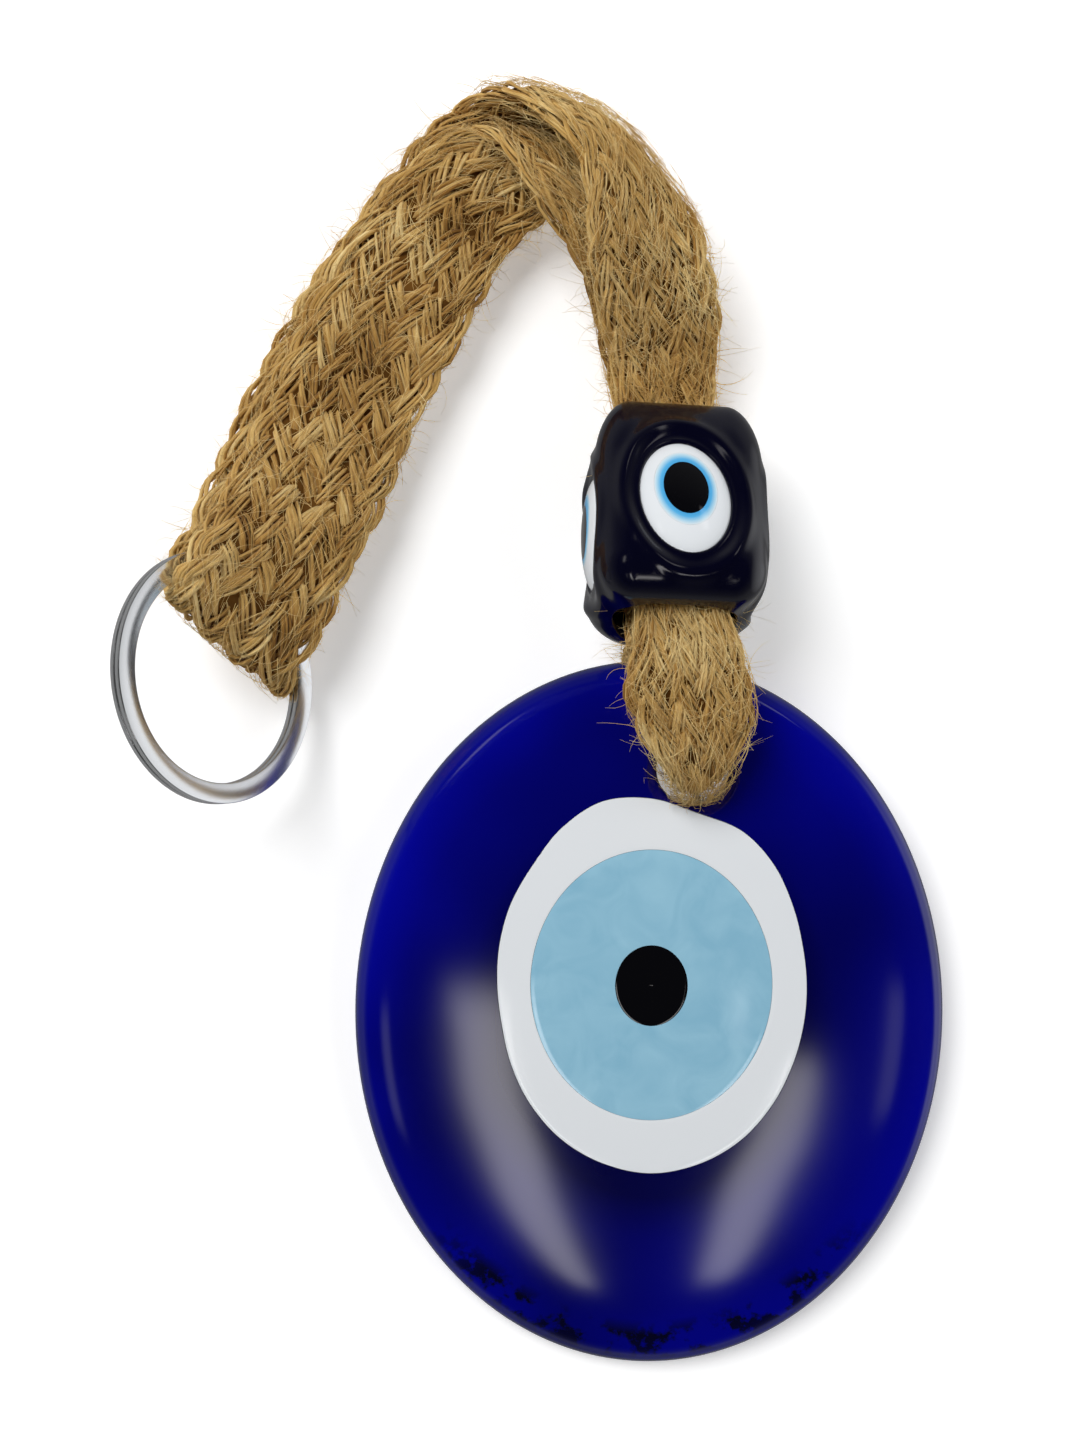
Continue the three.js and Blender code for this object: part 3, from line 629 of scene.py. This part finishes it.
# ---- disc ----
DISC_WIDTH = 0.081
DISC_LENGTH = 0.0976
DISC_THICKNESS = 0.008
DISC_EDGE = 0.0062  # height where the crowned front meets the rounded edge
DISC_TILT = math.radians(3.5)
DISC_PLACE = Matrix.Translation((0, 0.000189, 0.002447)) @ Matrix.Rotation(DISC_TILT, 4, "X")
HOLE_CENTRE = np.array((0.0057, 0.0342))
HOLE_RADIUS = 0.0049
HOLE_LIP = 0.0013
HOLE_SIDES = 96
IRIS_CENTRE = np.array((0.0001, 0.0049))
IRIS_SIZE = (0.0328, 0.0370)
PUPIL_SIZE = (0.0098, 0.0110)
WHITE_FLOOR = DISC_THICKNESS - 0.0026
IRIS_FLOOR = DISC_THICKNESS - 0.0017
PUPIL_FLOOR = DISC_THICKNESS - 0.0009
SEAM = 0.00002  # half the gap between two colours of glass
ROUND = 288  # steps round the disc
SHOULDER = 0.9  # share of the oval's size at which the grid meets the edge's profile
CENTRE_RING = 0.02  # size of the ring that closes a face, as a share of the face's own
FRONT_STEPS = 24
PATCH_STEPS = 26
POCKET_DROP = 0.0001
PATCH_EDGE_DROP = 0.00003

# The disc's profile from the middle of its front, over the edge, to its back: the share of the
# oval's radius, and the height.
DISC_PROFILE = (
    (0.0, DISC_THICKNESS), (0.25, 0.00793), (0.5, 0.00762), (0.8, 0.00688), (0.934, DISC_EDGE),
    (0.9754, 0.0053), (0.9949, 0.0042), (1.0, 0.0031), (0.9959, 0.00225), (0.9775, 0.00105),
    (0.9385, 0.00035), (0.75, 0.00018), (0.553, 0.0),
)
# The white patch was poured freehand: its outline about the middle of the disc.
WHITE_OUTLINE = (
    (-0.0066, 0.0299), (0.0001, 0.0303), (0.0064, 0.0283), (0.0123, 0.0259), (0.0166, 0.0214),
    (0.0192, 0.0159), (0.0206, 0.0104), (0.0212, 0.0049), (0.0208, -0.0006), (0.0193, -0.0062),
    (0.0166, -0.0116), (0.0124, -0.0164), (0.0067, -0.0197), (0.0001, -0.0210),
    (-0.0065, -0.0196), (-0.0121, -0.0163), (-0.0163, -0.0115), (-0.0189, -0.0061),
    (-0.0202, -0.0005), (-0.0208, 0.0049), (-0.0205, 0.0104), (-0.0190, 0.0159),
    (-0.0161, 0.0211), (-0.0122, 0.0262),
)

profile = curve_through(DISC_PROFILE, 8)
FRONT = profile[:np.argmax(profile[:, 0])]
ray = unit_circle(ROUND)


def front_height(points):
    """The height of the disc's crowned front over points of its plane."""
    return np.interp(oval_share(points, DISC_WIDTH, DISC_LENGTH), FRONT[:, 0], FRONT[:, 1])


def oval_reach(width, length):
    """How far each ray from the iris's centre runs to an oval round that centre."""
    return 1 / np.hypot(ray[:, 0] * 2 / width, ray[:, 1] * 2 / length)


def rim_points(share):
    """Where each ray from the iris's centre meets the disc's oval, at a share of its size."""
    half = np.array([DISC_WIDTH, DISC_LENGTH]) / 2 * share
    start = IRIS_CENTRE / half
    way = ray / half
    a = (way**2).sum(1)
    b = (way * start).sum(1)
    c = (start**2).sum() - 1
    reach = (-b + np.sqrt(b * b - a * c)) / a
    return IRIS_CENTRE + ray * reach[:, None]


def white_reach():
    """How far each ray from the iris's centre runs to the white patch's outline."""
    closed = np.array([*WHITE_OUTLINE[-2:], *WHITE_OUTLINE, *WHITE_OUTLINE[:3]])
    outline = curve_through(closed, 16) - IRIS_CENTRE
    angle = np.arctan2(outline[:, 1], outline[:, 0]) % (2 * math.pi)
    order = np.argsort(angle)
    turn = np.linspace(0, 2 * math.pi, ROUND, endpoint=False)
    return np.interp(turn, angle[order], np.hypot(*outline.T)[order], period=2 * math.pi)


def hole_cutter():
    """What the hole takes out of the disc, wider at the rounded lip at each end."""
    lip = [(-0.002, HOLE_LIP + 0.001), (-0.0006, HOLE_LIP + 0.0008), (0.0, HOLE_LIP)]
    lip += [(0.0002 + HOLE_LIP * (1 - math.cos(a)), HOLE_LIP * (1 - math.sin(a)))
            for a in np.linspace(0.15, math.pi / 2, 8)]
    top = float(front_height(HOLE_CENTRE))
    stages = lip + [(top - depth, wide) for depth, wide in reversed(lip)]
    circle = unit_circle(HOLE_SIDES)
    rings = [layer(HOLE_CENTRE + (HOLE_RADIUS + wide) * circle, height) for height, wide in stages]
    cutter = add_mesh("hole", np.vstack(rings), ring_faces(len(rings), HOLE_SIDES))
    sharpen(cutter)
    return cutter


def build_disc():
    """The cobalt glass: its front round the white patch's pocket, its edge and its back."""
    pocket = IRIS_CENTRE + ray * (white_reach() + SEAM)[:, None]
    shoulder = rim_points(SHOULDER)
    rings = [layer(IRIS_CENTRE + (pocket - IRIS_CENTRE) * CENTRE_RING, WHITE_FLOOR - SEAM),
             layer(pocket, WHITE_FLOOR - SEAM), layer(pocket, front_height(pocket) - POCKET_DROP)]
    for share in np.linspace(0, 1, FRONT_STEPS)[:-1]:
        points = pocket + (shoulder - pocket) * share + ray * (SEAM * 2 if share == 0 else 0)
        rings.append(layer(points, front_height(points)))
    for share, height in profile:
        if share > SHOULDER or (height < 0.001 and share > 0.5):
            rings.append(layer(rim_points(share), height))
    rings.append(layer(rim_points(profile[-1, 0]) * CENTRE_RING, 0))
    obj = add_mesh("disc_cobalt", np.vstack(rings), ring_faces(len(rings), ROUND))
    sharpen(obj)
    cut(obj, hole_cutter())
    return obj


def patch(name, inner, outer, floor):
    """A patch of coloured glass in the disc's front, between two reaches from the iris's centre."""
    rings = []
    for share in np.linspace(0, 1, PATCH_STEPS):
        points = IRIS_CENTRE + ray * (inner + (outer - inner) * share)[:, None]
        drop = PATCH_EDGE_DROP if share in (0, 1) else 0
        rings.append(layer(points, front_height(points) - drop))
    for reach in (outer, inner):
        rings.append(layer(IRIS_CENTRE + ray * reach[:, None], floor))
    obj = add_mesh(name, np.vstack(rings), hoop_faces(len(rings), ROUND))
    sharpen(obj)
    return obj


white_edge = white_reach()
iris_edge = oval_reach(*IRIS_SIZE)
pupil_edge = oval_reach(*PUPIL_SIZE)
dot = np.full(ROUND, SEAM)
disc_glass = build_disc()
disc_white = patch("disc_white", iris_edge + SEAM, white_edge - SEAM, WHITE_FLOOR)
disc_iris = patch("disc_iris", pupil_edge + SEAM, iris_edge - SEAM, IRIS_FLOOR)
disc_pupil = patch("disc_pupil", dot, pupil_edge - SEAM, PUPIL_FLOOR)

# ---- bead ----
BEAD_WIDTH = 0.0216
BEAD_LENGTH = 0.0298
BEAD_ROUNDING = 0.0068
BEAD_FRONT_CRISP = 0.0024  # how much tighter the front face's long edges are
BEAD_FAR_END_ROUNDER = 0.0022  # how much longer the rounding runs towards the far end
BEAD_NEAR_END_CRISP = 0.0018  # and how much shorter towards the end by the disc
BORE_WIDTH = 0.0158
BORE_HEIGHT = 0.0104
BEAD_EYE_SIZE = (0.0122, 0.0168)
BEAD_EYE_STAND = 0.0013
BEAD_EYE_DEPTH = 0.0021
BEAD_EYE_SHIFT = -0.0017
BEAD_EYE_SIDES = 96
BEAD_WHITE_FLOOR = -0.00085
BEAD_BLUE_SIZE = (0.0082, 0.0110)
BEAD_BLUE_FLOOR = -0.0001
BEAD_PUPIL_SIZE = (0.0058, 0.0078)
BEAD_PUPIL_FLOOR = 0.0002
BEAD_PUPIL_SHIFT = 0.0007  # on the front face
SIDE_PUPIL_SHIFT = 0.0002
BEAD_CUTS = 89  # cuts along each edge of the cube that the bead is shaped from
BEAD_BULGE = 0.0004
CRISP_HEIGHTS = (0.001, 0.007)  # where the bead's tighter front edges begin and are in full
EYE_FACING = (0.45, 0.9)  # how squarely the glass faces an eye's way, from the bed's edge inwards
# The groove and the raised collar round an eye: how far out, how wide and how high.
EYE_GROOVE = (1.08, 0.12, 0.00030)
EYE_COLLAR = (1.32, 0.13, 0.00042)
EYE_SINK = 0.0012  # how deep the bead dips under an eye
BEAD_PLACE = (Matrix.Translation(BEAD_CENTRE) @ Matrix.Rotation(-BEAD_PITCH, 4, "X")
              @ Matrix.Rotation(BEAD_ROLL, 4, "Y"))
# The turn of each eye's face about the bore, and the eye's own lean on it, in degrees.
BEAD_EYES = {"front": (0, 8), "right": (90, 5), "back": (180, -6), "left": (-90, 3)}
# The bore's flared mouth: the distance inwards from the bead's end, and how far it opens.
MOUTH_STAGES = ((-0.001, 0.0010), (0, 0.0007), (0.0006, 0.0004), (0.0014, 0.0002), (0.0024, 0))
SLOT_ROUND = 0.49  # radius of the bore's corners, as a share of its height


def eye_matrix(side):
    """The middle of one face of the bead, its z out of the face and its y along the eye's length."""
    angle, lean = BEAD_EYES[side]
    return (Matrix.Rotation(math.radians(angle), 4, "Y")
            @ Matrix.Translation((0, BEAD_EYE_SHIFT, BEAD_WIDTH / 2))
            @ Matrix.Rotation(math.radians(lean), 4, "Z"))


def slot_ring(width, height, y, steps=12):
    """A rounded slot across the bead's bore."""
    radius = height * SLOT_ROUND
    ring = []
    for corner, (x, z) in enumerate(((1, 1), (1, -1), (-1, -1), (-1, 1))):
        for step in range(steps + 1):
            angle = math.pi / 2 - corner * math.pi / 2 - step / steps * math.pi / 2
            ring.append((x * (width / 2 - radius) + radius * math.cos(angle), y,
                         z * (height / 2 - radius) + radius * math.sin(angle)))
    return ring


def ridge(out, place, width, height):
    """A soft ridge round an eye, over shares of the eye's size."""
    return height * np.exp(-(((out - place) / width) ** 2))


def build_bead():
    """The bead's glass: a cube with rounded edges, a bed for each eye, and the bore."""
    shape = bmesh.new()
    bmesh.ops.create_cube(shape, size=2)
    bmesh.ops.subdivide_edges(shape, edges=shape.edges, cuts=BEAD_CUTS, use_grid_fill=True)
    half = np.array([BEAD_WIDTH, BEAD_LENGTH, BEAD_WIDTH]) / 2
    mesh = bpy.data.meshes.new("bead_glass")
    shape.to_mesh(mesh)
    shape.free()
    points = np.empty(len(mesh.vertices) * 3)
    mesh.vertices.foreach_get("co", points)
    points = points.reshape(-1, 3)
    crisp = BEAD_FRONT_CRISP * smooth_step(points[:, 2] * half[2], *CRISP_HEIGHTS)
    rounding = BEAD_ROUNDING - np.outer(crisp, (1, 0, 1))
    rounding[:, 1] += np.where(points[:, 1] > 0, BEAD_FAR_END_ROUNDER, -BEAD_NEAR_END_CRISP)
    inner = np.clip(points * half, rounding - half, half - rounding)
    away = (points * half - inner) / rounding
    away /= np.linalg.norm(away, axis=1)[:, None]
    points = inner + away * rounding
    bulge = BEAD_BULGE * (1 - (points[:, 1] / half[1]) ** 2)
    push = bulge * np.linalg.norm(away[:, [0, 2]], axis=1)
    for side in BEAD_EYES:
        local = np.array(eye_matrix(side).inverted())
        seen = points @ local[:3, :3].T + local[:3, 3]
        out = oval_share(seen, *BEAD_EYE_SIZE)
        facing = smooth_step(away @ local[2, :3], *EYE_FACING) * (seen[:, 2] > -0.006)
        push = push + facing * (ridge(out, *EYE_COLLAR) - ridge(out, *EYE_GROOVE))
        push = push - facing * EYE_SINK * (1 - smooth_step(out, 0.90, 1.0))
    points = points + away * push[:, None]
    mesh.vertices.foreach_set("co", points.ravel())
    mesh.polygons.foreach_set("use_smooth", np.ones(len(mesh.polygons), bool))
    obj = bpy.data.objects.new("bead_glass", mesh)
    bpy.context.collection.objects.link(obj)
    end = BEAD_LENGTH / 2
    far = [(end - inwards, flare) for inwards, flare in MOUTH_STAGES]
    stages = [(-y, flare) for y, flare in far] + far[::-1]
    rings = [slot_ring(BORE_WIDTH + 2 * flare, BORE_HEIGHT + 2 * flare, y) for y, flare in stages]
    cutter = add_mesh("bore", np.vstack(rings), ring_faces(len(rings), len(rings[0])))
    sharpen(cutter)
    cut(obj, cutter)
    return obj


def eye_dome(points):
    """The height of the eye's smooth dome over points of its face."""
    out = oval_share(points, *BEAD_EYE_SIZE)
    return BEAD_EYE_STAND - BEAD_EYE_DEPTH * (1 - np.sqrt(np.clip(1 - out**2, 0, 1)))


def eye_part(name, inner, outer, shift_in, shift_out, floor, steps):
    """One ring of the eye between two ovals, under the same smooth dome."""
    circle = unit_circle(BEAD_EYE_SIDES)
    low = circle * np.array(inner) / 2 + np.array([0, shift_in])
    high = circle * np.array(outer) / 2 + np.array([0, shift_out])
    rings = []
    for share in np.sin(np.linspace(0, math.pi / 2, steps)):
        points = low + (high - low) * share
        rings.append(layer(points, eye_dome(points)))
    for points in (high, low):
        rings.append(layer(points, floor))
    obj = add_mesh(name, np.vstack(rings), hoop_faces(len(rings), BEAD_EYE_SIDES))
    sharpen(obj, degrees=60)
    return obj


def grown(size, by):
    """A width and length with this much added all round."""
    return (size[0] + 2 * by, size[1] + 2 * by)


def build_bead_eye(side):
    """The white, blue and black glass of the eye on one side of the bead."""
    name = f"bead_{side}_"
    shift = BEAD_PUPIL_SHIFT if side == "front" else SIDE_PUPIL_SHIFT
    pupil = eye_part(name + "pupil", (2 * SEAM, 2 * SEAM), grown(BEAD_PUPIL_SIZE, -SEAM), shift, shift,
                     BEAD_PUPIL_FLOOR, 14)
    blue = eye_part(name + "blue", BEAD_PUPIL_SIZE, grown(BEAD_BLUE_SIZE, -SEAM), shift, shift,
                    BEAD_BLUE_FLOOR, 10)
    white = eye_part(name + "white", BEAD_BLUE_SIZE, BEAD_EYE_SIZE, shift, 0, BEAD_WHITE_FLOOR, 20)
    for obj in (white, blue, pupil):
        obj.matrix_world = BEAD_PLACE @ eye_matrix(side)
    return white, blue, pupil


bead_glass = build_bead()
bead_glass.matrix_world = BEAD_PLACE
bead_eyes = {side: build_bead_eye(side) for side in BEAD_EYES}

# ---- split ring ----
RING_DIAMETER = 0.0336
RING_WIRE_WIDTH = 0.0027
RING_WIRE_HEIGHT = 0.0008
RING_COIL_GAP = 0.00015
RING_WIRE_CORNER = 0.00012
RING_STEP = (333, 357)  # degrees of turn in which the wire steps from one coil to the other
RING_END = 690  # degrees of turn in the whole wire
RING_TURN = 2  # degrees from one section of the wire to the next
CORNER_STEPS = 4
RING_CENTRE = (-0.0578, 0.0463, 0.0176)
RING_LEAN = math.radians(6)
RING_TILT = math.radians(51)
RING_SPIN = math.radians(108)
RING_PLACE = (Matrix.Translation(RING_CENTRE) @ Matrix.Rotation(RING_LEAN, 4, "Z")
              @ Matrix.Rotation(RING_TILT, 4, "Y") @ Matrix.Rotation(RING_SPIN, 4, "Z"))


def build_ring():
    """The flat wire, wound nearly twice round."""
    half_width = RING_WIRE_WIDTH / 2
    half_height = RING_WIRE_HEIGHT / 2
    corner = RING_WIRE_CORNER
    section = []
    for quarter, (x, z) in enumerate(((1, 1), (-1, 1), (-1, -1), (1, -1))):
        for step in range(CORNER_STEPS + 1):
            angle = (quarter + step / CORNER_STEPS) * math.pi / 2
            section.append((x * (half_width - corner) + corner * math.cos(angle),
                            z * (half_height - corner) + corner * math.sin(angle)))
    section = np.array(section)
    middle = (RING_DIAMETER - RING_WIRE_WIDTH) / 2
    level = (RING_WIRE_HEIGHT + RING_COIL_GAP) / 2
    rings = []
    for degrees in range(0, RING_END + 1, RING_TURN):
        angle = math.radians(degrees)
        height = level - 2 * level * float(smooth_step(degrees, *RING_STEP))
        reach = middle + section[:, 0]
        rings.append(np.column_stack([reach * math.cos(angle), reach * math.sin(angle),
                                      height + section[:, 1]]))
    obj = add_mesh("ring_wire", np.vstack(rings), ring_faces(len(rings), len(section)))
    sharpen(obj, degrees=50)
    obj.matrix_world = RING_PLACE
    return obj


ring_wire = build_ring()


# ---- glass and steel ----
def rim_share(tree, width, length, centre=(0, 0)):
    """0 at an oval's centre and 1 at its edge, from the object's own coordinates."""
    moved = add_node(tree, "Mapping", {"vector_type": "TEXTURE"}, n0=object_place(tree),
                     Location=(*centre, 0), Scale=(width / 2, length / 2, 1000)).outputs[0]
    return add_node(tree, "VectorMath", {"operation": "LENGTH"}, n0=moved).outputs["Value"]


def cobalt_material():
    """Deep cobalt glass, lighter in a thin line at its rim, with a band of dark specks at its foot."""
    material, tree, shader = new_material("cobalt", (0.0, 0.0, 0.2), 0.09)
    share = rim_share(tree, DISC_WIDTH, DISC_LENGTH)
    colour = ramp(tree, share, [
        (0.0, (0.0003, 0.0003, 0.030)), (0.50, (0.0003, 0.0003, 0.050)),
        (0.62, (0.0003, 0.0004, 0.135)), (0.82, (0.0005, 0.0006, 0.185)),
        (0.95, (0.0006, 0.0010, 0.270)),
        (0.985, (0.004, 0.006, 0.20)), (1.0, (0.02, 0.025, 0.12))])
    where = object_place(tree)
    cloud = noise(tree, where, Scale=26.0, Detail=2.0)
    shade = ramp(tree, cloud, [(0.32, 0.50), (0.66, 1.1)])
    clouded = add_node(tree, "Mix", {"data_type": "RGBA", "blend_type": "MULTIPLY"},
                       n0=1.0, n6=colour, n7=shade).outputs[2]
    along = add_node(tree, "SeparateXYZ", Vector=where).outputs["Y"]
    foot = add_node(tree, "MapRange", {"interpolation_type": "SMOOTHSTEP"}, n0=along,
                    n1=-0.026, n2=-0.036, n3=0.0, n4=1.0).outputs[0]
    band = ramp(tree, share, [(0.855, 0), (0.90, 1), (0.955, 0.9), (0.98, 0)])
    grain = noise(tree, where, Scale=230.0, Detail=5.0, Roughness=0.65)
    specks = add_node(tree, "MapRange", n0=grain, n1=0.49, n2=0.56, n3=0.0, n4=1.0).outputs[0]
    low = add_node(tree, "Math", {"operation": "MULTIPLY"}, n0=foot, n1=band).outputs[0]
    dark = add_node(tree, "Math", {"operation": "MULTIPLY"}, n0=low, n1=specks).outputs[0]
    mixed = add_node(tree, "Mix", {"data_type": "RGBA"}, n0=dark, n6=clouded,
                     n7=(0.001, 0.001, 0.012, 1)).outputs[2]
    tree.links.new(mixed, shader.inputs["Base Color"])
    return material


def plain_glass(name, colour, roughness=0.06):
    return new_material(name, colour, roughness)[0]


def iris_material():
    """Pale blue glass with faint streaks."""
    material, tree, shader = new_material("pale_blue", (0.29, 0.55, 0.70), 0.07)
    cloud = noise(tree, object_place(tree), Scale=160.0, Detail=4.0, Distortion=1.2)
    colour = ramp(tree, cloud, [(0.3, (0.25, 0.50, 0.66)), (0.7, (0.32, 0.58, 0.73))])
    tree.links.new(colour, shader.inputs["Base Color"])
    return material


def halo_material():
    """Sky-blue glass that bleeds softly into the white round it."""
    material, tree, shader = new_material("sky_blue", (0.08, 0.40, 0.75), 0.06)
    share = rim_share(tree, *BEAD_BLUE_SIZE, (0, BEAD_PUPIL_SHIFT))
    colour = ramp(tree, share, [
        (0.70, (0.06, 0.36, 0.72)), (0.80, (0.10, 0.44, 0.78)), (0.91, (0.42, 0.68, 0.84)),
        (1.0, (0.78, 0.83, 0.87))])
    tree.links.new(colour, shader.inputs["Base Color"])
    return material


LOOKS = {
    "cobalt_glass": cobalt_material(),
    "opal_glass": plain_glass("opal", (0.80, 0.83, 0.86)),
    "pale_blue_glass": iris_material(),
    "sky_blue_glass": halo_material(),
    "black_glass": plain_glass("jet", (0.002, 0.002, 0.003), 0.04),
    "night_blue_glass": plain_glass("night_blue", (0.0010, 0.0010, 0.008), 0.13),
    "ring_steel": new_material("steel", (0.74, 0.75, 0.76), 0.15, metallic=0.95)[0],
}


def stand_in(obj, slot, body, node):
    """The object wears a slot's look, moves with the body and is shown instead of the CAD node."""
    wear(obj, LOOKS[slot])
    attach(obj, body)
    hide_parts(node)


for obj, slot, node in (
        (disc_glass, "cobalt_glass", "disc_glass"), (disc_white, "opal_glass", "disc_eye_white"),
        (disc_iris, "pale_blue_glass", "disc_eye_iris"), (disc_pupil, "black_glass", "disc_eye_pupil")):
    obj.matrix_world = DISC_PLACE
    stand_in(obj, slot, "disc", node)
stand_in(bead_glass, "night_blue_glass", "bead", "bead_body")
for side, (white, blue, pupil) in bead_eyes.items():
    stand_in(white, "opal_glass", "bead", f"bead_eye_{side}_white")
    stand_in(blue, "sky_blue_glass", "bead", f"bead_eye_{side}_blue")
    stand_in(pupil, "black_glass", "bead", f"bead_eye_{side}_pupil")
stand_in(ring_wire, "ring_steel", "ring", "split_ring")

glue = bpy.data.objects["strap_glue_seam"]
wear(glue, new_material("dried_glue", (0.45, 0.36, 0.13), 0.4)[0])

# ---- floor and light ----
FLOOR_SIZE = 3
FLOOR_COLOUR = (0.90, 0.90, 0.90)
FLOOR_GLOW = 0.34

bpy.ops.mesh.primitive_plane_add(size=FLOOR_SIZE, location=(0, 0, 0))
floor = bpy.context.object
floor.name = "floor"
floor_look, _, floor_shader = new_material("floor", FLOOR_COLOUR, 0.9, specular=0.0)
floor_shader.inputs["Emission Color"].default_value = (1, 1, 1, 1)
floor_shader.inputs["Emission Strength"].default_value = FLOOR_GLOW
wear(floor, floor_look)
floor.visible_glossy = False

LIGHT_TARGET = (0, 0.03, 0)


def add_light(name, place, size, power):
    """A softbox aimed at the ornament, which doesn't show as a reflection."""
    light = bpy.data.lights.new(name, "AREA")
    light.shape = "RECTANGLE"
    light.size, light.size_y = size
    light.energy = power
    obj = bpy.data.objects.new(name, light)
    obj.location = place
    obj.rotation_euler = (Vector(LIGHT_TARGET) - Vector(place)).to_track_quat("-Z", "Y").to_euler()
    bpy.context.collection.objects.link(obj)
    obj.visible_glossy = False


REFLECTOR_HEIGHT = 0.7
REFLECTOR_COLUMNS = 17
REFLECTOR_SIDE_FADE = 0.3  # share of the strip's width that fades out at each side
REFLECTOR_START_FADE = 0.12  # share of its length that fades out at the start
REFLECTOR_END_FADE = 0.03
REFLECTOR_COLOUR = (1, 0.97, 0.97, 1)


def add_reflector(name, stations, strength):
    """A soft-edged strip of light, which shows only as a reflection in glass and steel."""
    fine = curve_through(stations, 6)
    share = np.linspace(0, 1, REFLECTOR_COLUMNS)
    across = fine[:, :1] + (fine[:, 1:2] - fine[:, :1]) * share
    along = np.repeat(fine[:, 2:], len(share), axis=1)
    points = np.stack([across, along, 0 * along + REFLECTOR_HEIGHT], -1).reshape(-1, 3)
    end = np.linspace(0, 1, len(fine))[:, None]
    side = smooth_step(share, 0, REFLECTOR_SIDE_FADE)
    side = side * smooth_step(-share, -1, REFLECTOR_SIDE_FADE - 1)
    glow = side * smooth_step(end, 0, REFLECTOR_START_FADE)
    glow = glow * smooth_step(-end, -1, REFLECTOR_END_FADE - 1)
    faces = ring_faces(len(fine), len(share), closed_ends=False)
    faces = [face for at, face in enumerate(faces) if at % len(share) != len(share) - 1]
    obj = add_mesh(name, points, faces, np.zeros((len(points), 2)), (glow * strength).ravel())
    material = bpy.data.materials.new(name)
    material.use_nodes = True
    tree = material.node_tree
    tree.nodes.clear()
    power = add_node(tree, "Attribute", {"attribute_name": "tint"}).outputs["Fac"]
    shine = add_node(tree, "Emission", Color=REFLECTOR_COLOUR, Strength=power)
    add_node(tree, "OutputMaterial", Surface=shine.outputs[0])
    wear(obj, material)
    obj.visible_camera = obj.visible_diffuse = obj.visible_shadow = False


add_light("key_softbox", (-0.50, 0.60, 1.10), (0.7, 0.7), 14)
add_light("left_softbox", (-1.0, 0.2, 0.6), (0.7, 1.0), 2)
add_light("right_softbox", (0.9, 0.0, 0.8), (0.9, 0.9), 5)
# Each station is the strip's left and right side and its place along Y.
add_reflector("left_reflector", (
    (-0.160, -0.095, -0.150), (-0.152, -0.082, -0.200), (-0.146, -0.070, -0.255),
    (-0.130, -0.056, -0.300), (-0.110, -0.042, -0.345), (-0.082, -0.026, -0.385),
    (-0.052, -0.012, -0.420), (-0.030, -0.006, -0.437)), 5.5)
add_reflector("right_reflector", (
    (0.168, 0.205, -0.215), (0.148, 0.208, -0.255), (0.124, 0.200, -0.300),
    (0.106, 0.182, -0.335), (0.094, 0.162, -0.375), (0.086, 0.142, -0.410),
    (0.084, 0.126, -0.430)), 5.0)
add_reflector("far_left_reflector", ((-0.50, -0.32, 0.22), (-0.48, -0.30, 0.50)), 1.6)
add_reflector("far_right_reflector", ((0.42, 0.62, 0.50), (0.44, 0.64, 0.95)), 1.6)
add_reflector("small_reflector", ((0.104, 0.124, -0.165), (0.106, 0.122, -0.215)), 2.2)
add_reflector("left_rim_reflector", ((-0.34, -0.27, -0.18), (-0.33, -0.26, -0.34)), 0.8)
add_reflector("right_rim_reflector", ((0.27, 0.33, -0.16), (0.26, 0.31, -0.30)), 0.8)

# The room is dim overhead and has a bright wall to the right.
WALL_SIDE = (0.985, 0.0, -0.174)

world = bpy.data.worlds.new("studio")
world.use_nodes = True
sky = world.node_tree
way = add_node(sky, "TexCoord").outputs["Generated"]
height = add_node(sky, "SeparateXYZ", Vector=way).outputs["Z"]
dome = ramp(sky, height, [(0.0, 0.26), (0.25, 0.12), (0.62, 0.02)])
toward = add_node(sky, "VectorMath", {"operation": "DOT_PRODUCT"}, n0=way,
                  n1=WALL_SIDE).outputs["Value"]
wall = ramp(sky, toward, [(0.80, 0), (0.985, (0.85, 0.86, 0.88))])
both = add_node(sky, "Mix", {"data_type": "RGBA", "blend_type": "ADD"}, n0=1.0, n6=dome,
                n7=wall).outputs[2]
sky.links.new(both, sky.nodes["Background"].inputs["Color"])
bpy.context.scene.world = world
